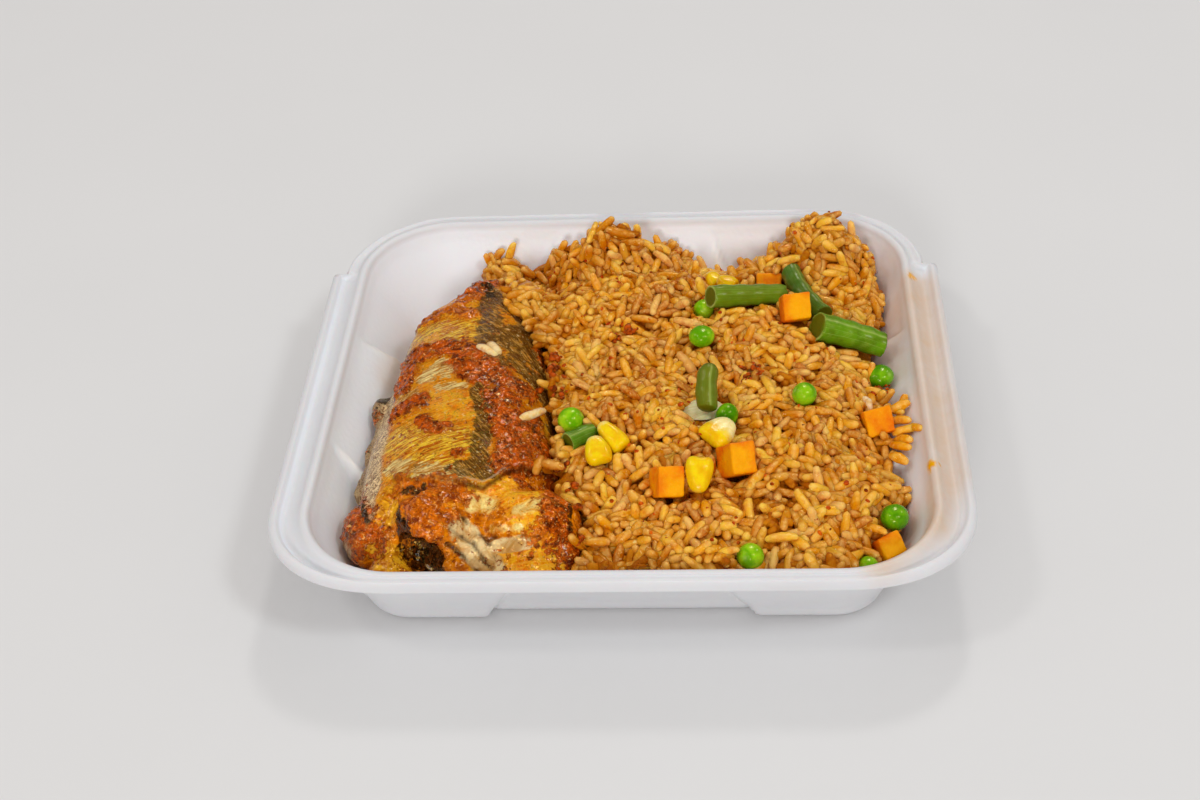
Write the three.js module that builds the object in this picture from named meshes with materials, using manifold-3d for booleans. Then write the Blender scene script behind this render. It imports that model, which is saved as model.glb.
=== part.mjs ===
// Jollof rice with a piece of fried mackerel and mixed vegetables, served in the base of a foam takeaway tray.
// Millimetres, +Z up. X runs across the tray, Y from the eater's side to the hinge side.
// The origin is at the bottom, in the middle of the tray's overall outline.
import * as THREE from "three";
import { mergeVertices } from "three/addons/utils/BufferGeometryUtils.js";
import Module from "manifold-3d";

const wasm = await Module();
wasm.setup();

// ---------------------------------------------------------------- driving dimensions

const TRAY = {
  ridgeWidth: 192, // across the top ridge of the wall, along X
  ridgeDepth: 185, // the same, along Y
  height: 35,
  cornerRadius: 31, // of the ridge, seen from above
  wall: 3, // foam thickness
  floor: 2.6,
  draft: 0.568, // how far the wall leans out for each millimetre of height
  wallTop: 31, // height where the leaning wall meets the rounded ridge
  ridgeHalf: 2.6, // half of the ridge's width
  sideFlange: 10.9, // from the ridge to the outer lip, on the left and right
  frontFlange: 3,
  hingeFlange: 4.2, // what is left of the hinge, round the back
  groove: 3.2, // depth of the channel between ridge and lip
  lipHeight: 4.2,
  notch: 1, // length of the step where the side flange ends
  panelHalf: 27, // half length of the pushed-in middle of each side, at the ridge
  panelSpread: 15, // how much longer each half gets on the way down
  panelPush: 3.4, // how deep the panel is pushed in, at the base
};
const CLEARANCE = 0.45; // between neighbouring solids

const RICE = {
  cell: 3.35, // spacing of the relief's grid
  level: 34, // general height of the surface
  frontDrop: 6,
  backDrop: 7,
  rightDrop: 11,
  grainRelief: 1.7, // height of the bumps that the grains make
  steep: 10, // mounds higher than this have steep sides
  seed: 7,
};

// Mounds and dips of the rice: centre x, y, radius, height.
const RICE_LUMPS = [
  [-12, 71, 10.5, 19],
  [-1, 70, 8.5, 17.5],
  [69.5, 71, 15, 18],
  [78, 58, 10, 7],
  [34, 81, 15, -13],
  [-38, 70, 17, -12],
  [58, 32, 13, 4],
  [38, 22, 12, 3],
  [60, -12, 16, 3],
  [30, -34, 15, 2],
  [12, 8, 12, 3],
  [4, 34, 12, 2],
  [70, -50, 13, 3],
  [80, -80, 11, -5],
  [-2, -58, 12, -2],
  [44, -62, 12, -2],
];

// The fish lies along Y, tail end at the back. Stations: y, middle x, half width, top height.
const FISH_STATIONS = [
  [-84, -48, 32, 35],
  [-74, -48, 34, 40],
  [-62, -49, 35.5, 43],
  [-40, -51, 32.5, 44],
  [-5, -51.5, 28, 42.5],
  [25, -53, 25, 39.5],
  [40, -54, 22.5, 36.5],
  [49, -53.5, 17.5, 34.5],
  [58, -51.5, 11, 32.5],
  [68, -50.5, 7, 28],
];
const FISH = {
  widest: 19, // height where it is widest
  bottom: 3.2,
  around: 18, // faces round it
  along: 15,
  skinEdge: -63, // where the skin ends and the torn front begins
  skinStep: 2.2, // how far the skin's rolled edge stands over the flesh
  sauce: 1.1, // thickness of the stew clinging to the skin
};

// Lumps of the fish's torn front: middle x, y, z and half sizes.
const FISH_LUMPS = [
  [-55, -69, 33, 13, 10, 8.5], // gill cover, fried dark
  [-77, -62, 21, 8.5, 11, 9], // stew in the left corner
  [-66, -80, 20, 11, 7, 8], // jaw
  [-41, -76, 23, 11, 9, 11], // white flesh
  [-27, -68, 31, 14, 12, 9.5], // shoulder
  [-28, -79, 20, 14, 8, 9], // belly below the shoulder
  [-15.5, -68, 25, 5, 11, 10], // stew at the right edge
];
// More pieces of the fish, given in the same way.
const FISH_MOUTH = [-60, -81, 29, 8, 8, 7]; // the dark hole in the front
const FIN_KNOB = [-82, -4, 24.5, 3, 5, 3.4];
const LOOSE_GRAINS = [
  [-44.7, 3.9, 41.2, 4.2, 1.7, 1.7], // rice grains that lie on the skin
  [-28.8, -25.6, 37.2, 4.6, 1.8, 1.7],
];
const FIN_FLAP = { x: -80.4, y: -22, z: 19.5, thick: 5, length: 46, height: 11 };

// ---------------------------------------------------------------- helpers

const clamp = THREE.MathUtils.clamp;
const smooth = THREE.MathUtils.smoothstep;
const lerp = THREE.MathUtils.lerp;

function hash(i, j, seed) {
  const wave = Math.sin(i * 127.1 + j * 311.7 + seed * 74.7) * 43758.5453;
  return wave - Math.floor(wave);
}

// Smooth noise from -1 to 1, with features about `size` across.
function noise(x, y, size, seed) {
  const u = x / size;
  const v = y / size;
  const i = Math.floor(u);
  const j = Math.floor(v);
  const a = smooth(u - i, 0, 1);
  const b = smooth(v - j, 0, 1);
  const low = lerp(hash(i, j, seed), hash(i + 1, j, seed), a);
  const high = lerp(hash(i, j + 1, seed), hash(i + 1, j + 1, seed), a);
  return 2 * lerp(low, high, b) - 1;
}

// A geometry with only its corner points, shared between faces.
function closed(geometry) {
  const bare = geometry.clone();
  bare.deleteAttribute("normal");
  bare.deleteAttribute("uv");
  return mergeVertices(bare, 1e-4);
}

function toSolid(geometry) {
  const merged = closed(geometry);
  return new wasm.Manifold(
    new wasm.Mesh({
      numProp: 3,
      vertProperties: new Float32Array(merged.attributes.position.array),
      triVerts: new Uint32Array(merged.index.array),
    }),
  );
}

function toGeometry(solid) {
  const { vertProperties, triVerts } = solid.getMesh();
  const geometry = new THREE.BufferGeometry();
  geometry.setAttribute("position", new THREE.BufferAttribute(vertProperties, 3));
  geometry.setIndex(new THREE.BufferAttribute(triVerts, 1));
  geometry.computeVertexNormals();
  return geometry;
}

// The largest body of a solid, without the scraps that a cut leaves.
function mainBody(solid) {
  const bodies = solid.decompose().sort((a, b) => b.volume() - a.volume());
  return bodies[0];
}

// Moves every vertex of a geometry: `move` changes the vector that it is given.
function reshape(geometry, move) {
  const points = geometry.attributes.position;
  const point = new THREE.Vector3();
  for (let i = 0; i < points.count; i++) {
    point.fromBufferAttribute(points, i);
    move(point, i);
    points.setXYZ(i, point.x, point.y, point.z);
  }
  return geometry;
}

function matte(color, roughness = 0.6) {
  return new THREE.MeshStandardMaterial({ color, roughness, metalness: 0 });
}

const model = new THREE.Group();

function addNode(name, geometry, material) {
  const mesh = new THREE.Mesh(geometry, material);
  mesh.name = name;
  model.add(mesh);
  return mesh;
}

// ---------------------------------------------------------------- tray

const halfX = TRAY.ridgeWidth / 2;
const halfY = TRAY.ridgeDepth / 2;
const trayShift = (TRAY.frontFlange - TRAY.hingeFlange) / 2; // centres the outline, lips included
const CORNER_STEPS = 5;
const WALL_HEIGHTS = [29, 18, 7]; // rings of the wall's inner face, from the top

// Stations round the ridge, anticlockwise from the middle of the right side: where the ridge is, which way
// is out, how far it is from the side's middle, and how wide the flange is there.
function ridgeStations() {
  const stations = [];
  const straightX = halfX - TRAY.cornerRadius;
  const straightY = halfY - TRAY.cornerRadius;
  const panelMarks = [25, 38]; // where the panel's slanted ends cross the wall
  const addSide = (nx, ny, straight, widthAt) => {
    const marks = [...panelMarks, straight];
    const along = [...marks.map((m) => -m).reverse(), ...marks];
    for (const a of along) {
      const x = nx ? nx * halfX : -ny * a;
      const y = ny ? ny * halfY : nx * a;
      stations.push({ x, y, nx, ny, along: Math.abs(a), flange: widthAt(x, y) });
    }
  };
  const addCorner = (sx, sy, startAngle, widthAt) => {
    for (let i = 1; i < CORNER_STEPS; i++) {
      const share = i / CORNER_STEPS;
      const angle = startAngle + (share * Math.PI) / 2;
      const nx = Math.cos(angle);
      const ny = Math.sin(angle);
      const x = sx * straightX + nx * TRAY.cornerRadius;
      const y = sy * straightY + ny * TRAY.cornerRadius;
      stations.push({ x, y, nx, ny, along: Infinity, flange: widthAt(share) });
    }
  };
  const side = () => TRAY.sideFlange;
  const hinge = () => TRAY.hingeFlange;
  const front = () => TRAY.frontFlange;
  const narrowing = (share) => lerp(TRAY.sideFlange, TRAY.frontFlange, smooth(share, 0.1, 1));
  const notchStation = (sx) => ({
    x: sx * halfX,
    y: straightY + TRAY.notch,
    nx: sx,
    ny: 0,
    along: Infinity,
    flange: TRAY.hingeFlange,
  });
  addSide(1, 0, straightY, side);
  stations.push(notchStation(1));
  addCorner(1, 1, 0, hinge);
  addSide(0, 1, straightX, hinge);
  addCorner(-1, 1, Math.PI / 2, hinge);
  stations.push(notchStation(-1));
  addSide(-1, 0, straightY, side);
  addCorner(-1, -1, Math.PI, narrowing);
  addSide(0, -1, straightX, front);
  addCorner(1, -1, 1.5 * Math.PI, (share) => narrowing(1 - share));
  return stations;
}

// How far the wall is pushed in at a station, at height z.
function panelPush(station, z) {
  const depth = clamp((TRAY.height - z) / TRAY.height, 0, 1);
  const edge = TRAY.panelHalf + TRAY.panelSpread * depth;
  const inside = 1 - smooth(station.along, edge - 5, edge + 1);
  return inside * TRAY.panelPush * smooth(depth, 0.05, 0.5);
}

// How far the wall's inner face is outside the ridge line, at height z.
function innerOffset(z) {
  return -TRAY.ridgeHalf - Math.max(0, TRAY.wallTop - z) * TRAY.draft;
}

function ringPoint(station, offset, z) {
  const out = offset < 0 && z < TRAY.wallTop ? offset - panelPush(station, z) : offset;
  return new THREE.Vector3(station.x + station.nx * out, station.y + station.ny * out + trayShift, z);
}

// The foam's section at a station, as [offset from the ridge line, height]; null is the tray's middle.
function traySection(station) {
  const top = TRAY.height;
  const width = station.flange;
  const wide = (width - TRAY.frontFlange) / (TRAY.sideFlange - TRAY.frontFlange);
  const isHinge = station.ny >= 0 && width === TRAY.hingeFlange;
  const lipDrop = isHinge ? 2.2 : 0.9;
  const grooveDrop = isHinge ? 2.4 : lerp(0.9, TRAY.groove, smooth(wide, 0, 0.6));
  const inner = (z) => [innerOffset(z), z];
  const outer = (z) => [innerOffset(z) + TRAY.wall, z];
  return [
    [null, 0],
    [innerOffset(1) + TRAY.wall - 0.6, 0],
    [innerOffset(3) + TRAY.wall + 0.3, 2],
    outer(6),
    outer(17),
    outer(top - TRAY.groove - 3.6),
    [Math.min(0.45 * width, 4.5), top - TRAY.groove - 2.9],
    [width - Math.min(1.8, 0.4 * width), top - lipDrop - TRAY.lipHeight - 0.3],
    [width, top - lipDrop - TRAY.lipHeight],
    [width, top - lipDrop - 1.4],
    [0.9 * width, top - lipDrop - 0.1],
    [0.76 * width, top - lipDrop],
    [0.6 * width, top - grooveDrop * 0.95],
    [0.42 * width, top - grooveDrop],
    [Math.min(0.25 * width, 2), top - lerp(0.5, 1.4, wide)],
    [0.7, top],
    [-0.9, top],
    [-1.9, top - 1.1],
    ...WALL_HEIGHTS.map(inner),
    [innerOffset(4) - 0.3, 4],
    [innerOffset(TRAY.floor) - 1.4, TRAY.floor],
    [null, TRAY.floor],
  ];
}

// A lathe whose rings follow the tray's outline: `section` gives each station's ring points.
function traySolid(section) {
  const stations = ridgeStations();
  const rings = stations.map((station) =>
    section(station).map(([offset, z]) =>
      offset === null ? new THREE.Vector3(0, 0, z) : ringPoint(station, offset, z),
    ),
  );
  const profile = rings[0].map((p, i) => new THREE.Vector2(i === 0 || i === rings[0].length - 1 ? 0 : 10 + i, p.z));
  const lathe = new THREE.LatheGeometry(profile, stations.length);
  reshape(lathe, (point, i) => {
    const ring = Math.floor(i / profile.length) % stations.length;
    point.copy(rings[ring][i % profile.length]);
  });
  return toSolid(lathe);
}

// Cuts food to the inside of the tray: the foam, thickened outwards and upwards, and by the clearance inwards.
function mouldSolid(gap) {
  const reach = 60;
  const inner = (z) => [innerOffset(z) - gap, z];
  return traySolid(() => [
    [null, -reach],
    [reach, -reach],
    [reach, 2 * reach],
    [innerOffset(TRAY.wallTop) - gap, 2 * reach],
    [innerOffset(TRAY.wallTop) - gap, TRAY.wallTop + 1],
    ...WALL_HEIGHTS.map(inner),
    [innerOffset(4) - 0.3 - gap, 4 + gap],
    [innerOffset(TRAY.floor) - 1.4 - gap, TRAY.floor + gap],
    [null, TRAY.floor + gap],
  ]);
}

// ---------------------------------------------------------------- fish

// The fish's middle, half width and top at a place along it, between the stations.
function fishSection(y) {
  const last = FISH_STATIONS.length - 1;
  let i = 0;
  while (i < last - 1 && y > FISH_STATIONS[i + 1][0]) i++;
  const [y0, x0, w0, t0] = FISH_STATIONS[i];
  const [y1, x1, w1, t1] = FISH_STATIONS[i + 1];
  const share = clamp((y - y0) / (y1 - y0), 0, 1);
  return { x: lerp(x0, x1, share), width: lerp(w0, w1, share), top: lerp(t0, t1, share) };
}

const signedPower = (value, power) => Math.sign(value) * Math.abs(value) ** power;

function fishBody(grow) {
  const first = FISH_STATIONS[0][0] - grow;
  const last = FISH_STATIONS.at(-1)[0] + grow;
  const body = new THREE.SphereGeometry(1, FISH.around, FISH.along);
  reshape(body, (point) => {
    const y = lerp(first, last, (1 - point.y) / 2);
    const ring = Math.hypot(point.x, point.z);
    const blunt = ring ** 0.27;
    const { x, width, top } = fishSection(y);
    const across = ring > 1e-6 ? signedPower(point.x / ring, 0.85) : 0;
    const up = ring > 1e-6 ? signedPower(-point.z / ring, 0.9) : 0;
    const reach = up > 0 ? top - FISH.widest : FISH.widest - FISH.bottom;
    const stewed = smooth(noise(point.x * 30 + y, y, 13, 3), 0, 0.5) * FISH.sauce;
    const rolled = FISH.skinStep * smooth(y, FISH.skinEdge - 3, FISH.skinEdge);
    const skin = (stewed + rolled - FISH.skinStep) * (up > -0.2 ? 1 : 0);
    const half = (width + grow + skin) * blunt;
    point.set(x + half * across, y, FISH.widest + (reach + grow + skin) * blunt * up);
  });
  return toSolid(body);
}

function ellipsoid([x, y, z, rx, ry, rz], grow, steps = 8) {
  const ball = new THREE.SphereGeometry(1, steps, Math.round(steps * 0.65));
  reshape(ball, (point) => {
    const bump = 1 + 0.07 * noise(point.x * 20 + x, point.y * 20 + z, 9, 5);
    point.set(
      x + point.x * (rx * bump + grow),
      y - point.z * (ry * bump + grow),
      z + point.y * (rz * bump + grow),
    );
  });
  return toSolid(ball);
}

// The fried fin: a wavy flap that leans against the tray's left wall.
function finFlap(grow) {
  const { x, y, z, thick, length, height } = FIN_FLAP;
  const flap = new THREE.BoxGeometry(thick + 2 * grow, length + 2 * grow, height + 2 * grow, 1, 6, 1);
  reshape(flap, (point) => {
    const wave = 0.7 * Math.sin(point.y * 0.35);
    const lean = 0.07 * point.y - 0.35 * point.z;
    point.set(x + point.x + wave + lean, y + point.y, z + point.z + 0.06 * point.y);
  });
  return toSolid(flap);
}

function fishSolid(grow) {
  let fish = fishBody(grow);
  for (const lump of FISH_LUMPS) fish = fish.add(ellipsoid(lump, grow));
  fish = fish.add(finFlap(grow)).add(ellipsoid(FIN_KNOB, grow));
  if (grow > 0) return fish;
  for (const grain of LOOSE_GRAINS) fish = fish.add(ellipsoid(grain, 0, 6));
  return fish.subtract(ellipsoid(FISH_MOUTH, 0));
}

// ---------------------------------------------------------------- rice

// The surface of the rice without its grains.
function riceLevel(x, y) {
  let z = RICE.level;
  z -= RICE.frontDrop * smooth(-y, 55, halfY - 4);
  z -= RICE.backDrop * smooth(y, 40, halfY);
  z -= RICE.rightDrop * smooth(x, 60, halfX - 4);
  let steep = 0; // the steep mounds don't add up where they meet
  for (const [lx, ly, radius, height] of RICE_LUMPS) {
    const away = ((x - lx) ** 2 + (y - ly) ** 2) / radius ** 2;
    if (height > RICE.steep) steep = Math.max(steep, height * Math.exp(-(away ** 2)));
    else z += height * Math.exp(-away);
  }
  z += steep;
  z += 1.8 * noise(x, y, 22, RICE.seed) + 1.3 * noise(x, y, 9, RICE.seed + 1);
  const besideFish = lerp(-36, -57, smooth(y, 10, 60)) + 20 * smooth(-y, 70, 80);
  const leftEdge = besideFish + 3 * noise(y, 3, 14, RICE.seed + 2);
  return z - 34 * smooth(leftEdge - x, -6, 8);
}

// Bumps as large as grains: each point of the grid stands or lies on its own.
function grainRelief(x, y) {
  const i = Math.round(x / RICE.cell);
  const j = Math.round(y / RICE.cell);
  return RICE.grainRelief * (1.5 * hash(i, j, RICE.seed + 3) + 0.5 * hash(2 * j, i, RICE.seed + 4) - 0.3);
}

function riceHeap() {
  const lowX = -72;
  const width = halfX - lowX;
  const depth = TRAY.ridgeDepth;
  const columns = Math.round(width / RICE.cell);
  const rows = Math.round(depth / RICE.cell);
  const block = new THREE.BoxGeometry(width, depth, 20, columns, rows, 1);
  reshape(block, (point) => {
    point.x += lowX + width / 2;
    point.y += trayShift;
    point.z = point.z > 0 ? Math.max(1, riceLevel(point.x, point.y) + grainRelief(point.x, point.y)) : 0;
  });
  return toSolid(block);
}

// ---------------------------------------------------------------- vegetables

// Each shape is made lying along X, round the origin, `grow` larger on every side.

function peaShape(grow, [diameter, squeeze]) {
  const pea = new THREE.SphereGeometry(diameter / 2 + grow, 8, 6);
  return reshape(pea, (point) => point.set(point.x, -point.z, point.y * squeeze));
}

// A corn kernel, tip towards -X: a broad crown that narrows to where it sat on the cob.
function cornShape(grow, [length, width, thick]) {
  const kernel = new THREE.SphereGeometry(1, 8, 6);
  return reshape(kernel, (point) => {
    const along = signedPower(point.y, 0.85); // the tip is at -1
    const ring = Math.hypot(point.x, point.z);
    const blunt = ring > 1e-6 ? ring ** -0.5 : 0;
    const taper = lerp(0.62, 1, smooth(along, -1, 0.4));
    point.set(
      along * (length / 2 + grow),
      -point.x * blunt * taper * (width / 2 + grow),
      point.z * blunt * lerp(0.75, 1, taper) * (thick / 2 + grow),
    );
  });
}

function carrotShape(grow, [length, width, thick]) {
  const cube = new THREE.BoxGeometry(length + 2 * grow, width + 2 * grow, thick + 2 * grow);
  return reshape(cube, (point) => {
    point.x += 0.1 * point.z;
    point.y += 0.06 * point.x;
  });
}

// A cut length of green bean: its section is an oval with a seam, it bends sideways, and the cut at its -X end
// slants by `slant` millimetres for each millimetre across and up.
function beanShape(grow, [length, width, thick, bend, slant]) {
  const sides = 8;
  const section = new THREE.Shape();
  for (let i = 0; i < sides; i++) {
    const angle = (i / sides) * 2 * Math.PI;
    const seam = i === 0 ? 1.08 : 1;
    const x = Math.cos(angle) * seam * (thick / 2 + grow);
    const y = Math.sin(angle) * (width / 2 + grow);
    if (i === 0) section.moveTo(x, y);
    else section.lineTo(x, y);
  }
  section.closePath();
  const pod = new THREE.ExtrudeGeometry(section, { depth: 1, steps: 3, bevelEnabled: false });
  return reshape(pod, (point) => {
    const t = 2 * point.z - 1;
    const size = 1 + 0.08 * t;
    const cut = (slant * (point.x - point.y) * (1 + t)) / 2;
    point.set(cut - t * (length / 2 + grow), point.y * size + bend * (0.5 - t * t), point.x * size);
  });
}

// A curled slice of onion.
function onionShape(grow, [length, width, thick]) {
  const slice = new THREE.SphereGeometry(1, 10, 5);
  return reshape(slice, (point) => {
    const curl = 1.5 * (0.4 - point.x ** 2);
    const half = thick / 2 + 1.7 * grow; // thin and curled, so it needs more round it
    point.set(point.x * (length / 2 + grow), -point.z * (width / 2 + grow), point.y * half + curl);
  });
}

// x, y and z of the middle, heading, pitch and roll in degrees, then the shape's sizes.
const PEAS = [
  [-16.3, -25.6, 36.3, 0, 0, 0, 8.6, 0.97],
  [25, 14.2, 39, 0, 0, 0, 8.5, 0.78],
  [25.5, 35.6, 34.3, 0, 20, 0, 7.3, 0.95],
  [32.9, -25, 36.9, 40, 20, 0, 7.4, 1.12],
  [57.6, -17.5, 39.3, 0, 10, 0, 8, 0.94],
  [83.5, 6.1, 27.3, 0, -15, 0, 9.2, 0.76],
  [82.9, -62.6, 27.4, 0, 0, 0, 8.6, 0.86],
  [39.3, -81.5, 29.8, 0, 0, 0, 8, 0.96],
  [74, -79.5, 23.1, 0, 0, 0, 6.8, 0.98],
];
const CORN = [
  [-2.8, -34.7, 37.2, -49, 18, 25, 12.2, 8.2, 6],
  [-7.1, -41.2, 37.1, -75, 22, 0, 10.3, 8.9, 6],
  [30.6, -34.6, 38.7, -133, 4, -10, 11.3, 11.8, 5.8],
  [24.5, -56.1, 40, 85, -38, 0, 11.5, 9, 5.8],
  [29, 55, 32.8, -60, 12, 0, 7.6, 7, 5.5],
  [33.7, 48.6, 35.8, -20, 14, 0, 7.6, 7.3, 5.5],
];
const CARROTS = [
  [14.5, -54.8, 35.6, 9, 11, 46, 8.2, 9.5, 10],
  [35.7, -45.8, 36.5, 19, 12, 44, 8, 9.8, 10.3],
  [80.5, -20.4, 29.6, 9, -9, 46, 8.8, 8.6, 9.4],
  [80.6, -70.7, 22.8, 26, -7, 38, 7.2, 6.8, 7.2],
  [56.2, 27.5, 40.3, 4, 0, 47, 9.2, 9, 9],
  [47.8, 51.5, 31.6, -7, 0, 34, 8.8, 8, 8.5],
];
const BEANS = [
  [40.7, 36.8, 38.9, 16, 10, 0, 26.5, 7.8, 7.4, -0.2, 0.2],
  [60.1, 40.1, 37, -67, 2, 0, 25.2, 7, 6.6, -1.6, 0],
  [74.2, 19.6, 34.3, 4, 22, 0, 23.2, 9.6, 9.1, 0.8, 0.2],
  [26.8, -17.7, 42.8, 87, -30, 0, 13.4, 6.3, 6.2, 0.8, 0],
  [-13, -32.7, 35.4, 41, 6, 0, 10, 6.2, 6.2, 0.3, 0],
];
const ONION = [25.9, -19.4, 35, 5, 0, 6, 14.4, 10.3, 1.4];

function placed(shape, row, grow) {
  const [x, y, z, heading, pitch, roll, ...sizes] = row;
  const turn = new THREE.Euler(
    THREE.MathUtils.degToRad(roll),
    THREE.MathUtils.degToRad(pitch),
    THREE.MathUtils.degToRad(heading),
    "ZYX",
  );
  const place = new THREE.Matrix4().makeRotationFromEuler(turn);
  place.setPosition(x, y, z);
  return shape(grow, sizes).applyMatrix4(place);
}

// ---------------------------------------------------------------- the meal, piece by piece

const toppings = [
  ...PEAS.map((row, i) => ["pea_" + (i + 1), peaShape, row, matte(0x4fae1d, 0.35)]),
  ...CORN.map((row, i) => ["corn_" + (i + 1), cornShape, row, matte(0xf2c21a, 0.35)]),
  ...CARROTS.map((row, i) => ["carrot_" + (i + 1), carrotShape, row, matte(0xf08a1f, 0.45)]),
  ...BEANS.map((row, i) => ["bean_" + (i + 1), beanShape, row, matte(0x4d8a32, 0.4)]),
  ["onion", onionShape, ONION, matte(0xe4dfa8, 0.35)],
];

const mould = mouldSolid(CLEARANCE);
const fish = mainBody(fishSolid(0).subtract(mould));
let heap = riceHeap().subtract(mould).subtract(fishSolid(2 * CLEARANCE));
for (const [name, shape, row, material] of toppings) {
  addNode(name, placed(shape, row, 0), material);
  heap = heap.subtract(toSolid(placed(shape, row, CLEARANCE)));
}
addNode("tray", toGeometry(traySolid(traySection)), matte(0xe9e7ee, 0.75));
addNode("fish", toGeometry(fish), matte(0xa3561f, 0.4));
addNode("rice", toGeometry(mainBody(heap)), matte(0xcf8a35, 0.5));

export default model;
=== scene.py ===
import math

import bmesh
import bpy
import numpy as np
from mathutils import Matrix, Vector
from mathutils.bvhtree import BVHTree


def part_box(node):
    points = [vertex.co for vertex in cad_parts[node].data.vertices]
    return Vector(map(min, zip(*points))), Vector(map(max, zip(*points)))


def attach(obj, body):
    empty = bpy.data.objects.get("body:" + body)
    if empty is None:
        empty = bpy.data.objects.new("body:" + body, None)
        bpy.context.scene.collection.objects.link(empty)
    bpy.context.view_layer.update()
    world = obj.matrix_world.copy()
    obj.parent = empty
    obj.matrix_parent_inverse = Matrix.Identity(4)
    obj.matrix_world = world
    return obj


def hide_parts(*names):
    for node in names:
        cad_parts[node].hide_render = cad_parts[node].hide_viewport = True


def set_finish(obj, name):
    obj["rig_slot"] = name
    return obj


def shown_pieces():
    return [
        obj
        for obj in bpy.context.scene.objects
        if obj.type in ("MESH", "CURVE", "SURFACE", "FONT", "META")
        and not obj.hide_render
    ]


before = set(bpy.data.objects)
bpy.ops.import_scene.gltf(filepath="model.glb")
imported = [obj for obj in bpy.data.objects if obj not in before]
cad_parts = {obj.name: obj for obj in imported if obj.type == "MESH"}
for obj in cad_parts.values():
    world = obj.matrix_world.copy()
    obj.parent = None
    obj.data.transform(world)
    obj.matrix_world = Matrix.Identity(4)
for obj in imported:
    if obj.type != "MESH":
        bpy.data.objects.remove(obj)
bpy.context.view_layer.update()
mm = 0.001


# Colours, noise and small helpers.

def tone(red, green, blue):  # a colour as a screen shows it, 0 to 255, made linear
    shares = [value / 255 for value in (red, green, blue)]
    return tuple(s / 12.92 if s < 0.04 else ((s + 0.055) / 1.055) ** 2.4 for s in shares) + (1.0,)


def hashed(cells, seed):  # a number from 0 to 1 for each cell
    wave = np.sin(cells @ np.array([127.1, 311.7, 74.7]) + seed * 19.19) * 43758.5453
    return wave - np.floor(wave)


def noise(points, size, seed):  # smooth, from -1 to 1, with features about size across
    scaled = points / size
    low = np.floor(scaled)
    share = scaled - low
    share = share * share * (3 - 2 * share)
    total = 0
    for corner in np.ndindex(2, 2, 2):
        weight = np.prod(np.where(corner, share, 1 - share), axis=1)
        total = total + weight * hashed(low + np.array(corner), seed)
    return 2 * total - 1


def noises(points, *rows):  # a sum of noises, each given as its weight, size and seed
    return sum(weight * noise(points, size, seed) for weight, size, seed in rows)


def fade(value, low, high):  # 0 below low, 1 above high, smooth between
    share = np.clip((value - low) / (high - low), 0, 1)
    return share * share * (3 - 2 * share)


def bell(away, width):  # 1 at 0, falling to about a third at width
    return np.exp(-((away / width) ** 2))


def unit(vectors):
    return vectors / np.maximum(np.linalg.norm(vectors, axis=-1, keepdims=True), 1e-12)


def boxOf(points):  # middle and size
    low, high = points.min(axis=0), points.max(axis=0)
    return (low + high) / 2, high - low


def vectorsOf(mesh, kind):
    flat = np.zeros(len(mesh.vertices) * 3)
    mesh.vertices.foreach_get(kind, flat)
    return flat.reshape(-1, 3)


def pointsOf(mesh):  # in millimetres
    return vectorsOf(mesh, "co") / mm


def normalsOf(mesh):
    return vectorsOf(mesh, "normal")


def movePoints(mesh, points):
    mesh.vertices.foreach_set("co", (points * mm).ravel())
    mesh.update()


def addMasks(mesh, **masks):  # a value for each point, or one for them all, that the material reads
    for name, values in masks.items():
        mask = mesh.attributes.new(name, "FLOAT", "POINT")
        mask.data.foreach_set("value", (np.zeros(len(mesh.vertices)) + values).astype(np.float32))


def meshOf(shape, name):
    mesh = bpy.data.meshes.new(name)
    shape.to_mesh(mesh)
    shape.free()
    return mesh


def facesOf(mesh):
    return [list(face.vertices) for face in mesh.polygons]


def shapeOf(*meshes):
    shape = bmesh.new()
    for mesh in meshes:
        shape.from_mesh(mesh)
    return shape


def startMesh(name, create, **settings):  # a mesh of one plain shape, and its points at the shape's own size
    shape = bmesh.new()
    create(shape, **settings)
    mesh = meshOf(shape, name)
    return mesh, pointsOf(mesh) * mm


def cadShape(node, flat=False):  # a copy of a CAD node's mesh with its loose triangles joined up
    shape = shapeOf(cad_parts[node].data)
    bmesh.ops.remove_doubles(shape, verts=shape.verts, dist=0.02 * mm)
    if flat:  # one face for each flat side
        bmesh.ops.dissolve_limit(shape, angle_limit=math.radians(2), verts=shape.verts, edges=shape.edges)
    return shape


def addObject(name, data):
    piece = bpy.data.objects.new(name, data)
    bpy.context.scene.collection.objects.link(piece)
    return piece


def withModifier(mesh, kind, **settings):  # the mesh after one modifier
    holder = addObject("holder", mesh)
    modifier = holder.modifiers.new("change", kind)
    for name, value in settings.items():
        setattr(modifier, name, value)
    graph = bpy.context.evaluated_depsgraph_get()
    changed = bpy.data.meshes.new_from_object(holder.evaluated_get(graph))
    bpy.data.objects.remove(holder)
    return changed


def wrapped(mesh, step, smooths=0):  # one skin round the mesh, of faces about step millimetres across
    mesh = withModifier(mesh, "REMESH", mode="VOXEL", voxel_size=step * mm)
    return withModifier(mesh, "SMOOTH", factor=0.5, iterations=smooths) if smooths else mesh


def addPiece(name, mesh, slot, paint, nodes=()):
    mesh.materials.clear()
    mesh.materials.append(paint.material)
    mesh.shade_smooth()
    piece = addObject(name, mesh)
    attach(piece, "root")
    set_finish(piece, slot)
    if nodes:
        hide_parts(*nodes)


# The camera stands in front of the tray, a little to the right, and looks down on it.

camera = {
    "place": (0.03424, -0.47635, 0.40758),
    "down": 38.73,  # degrees below the horizon
    "turn": 5.18,
    "roll": -4.08,
    "lens": 55.5,
}


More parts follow.
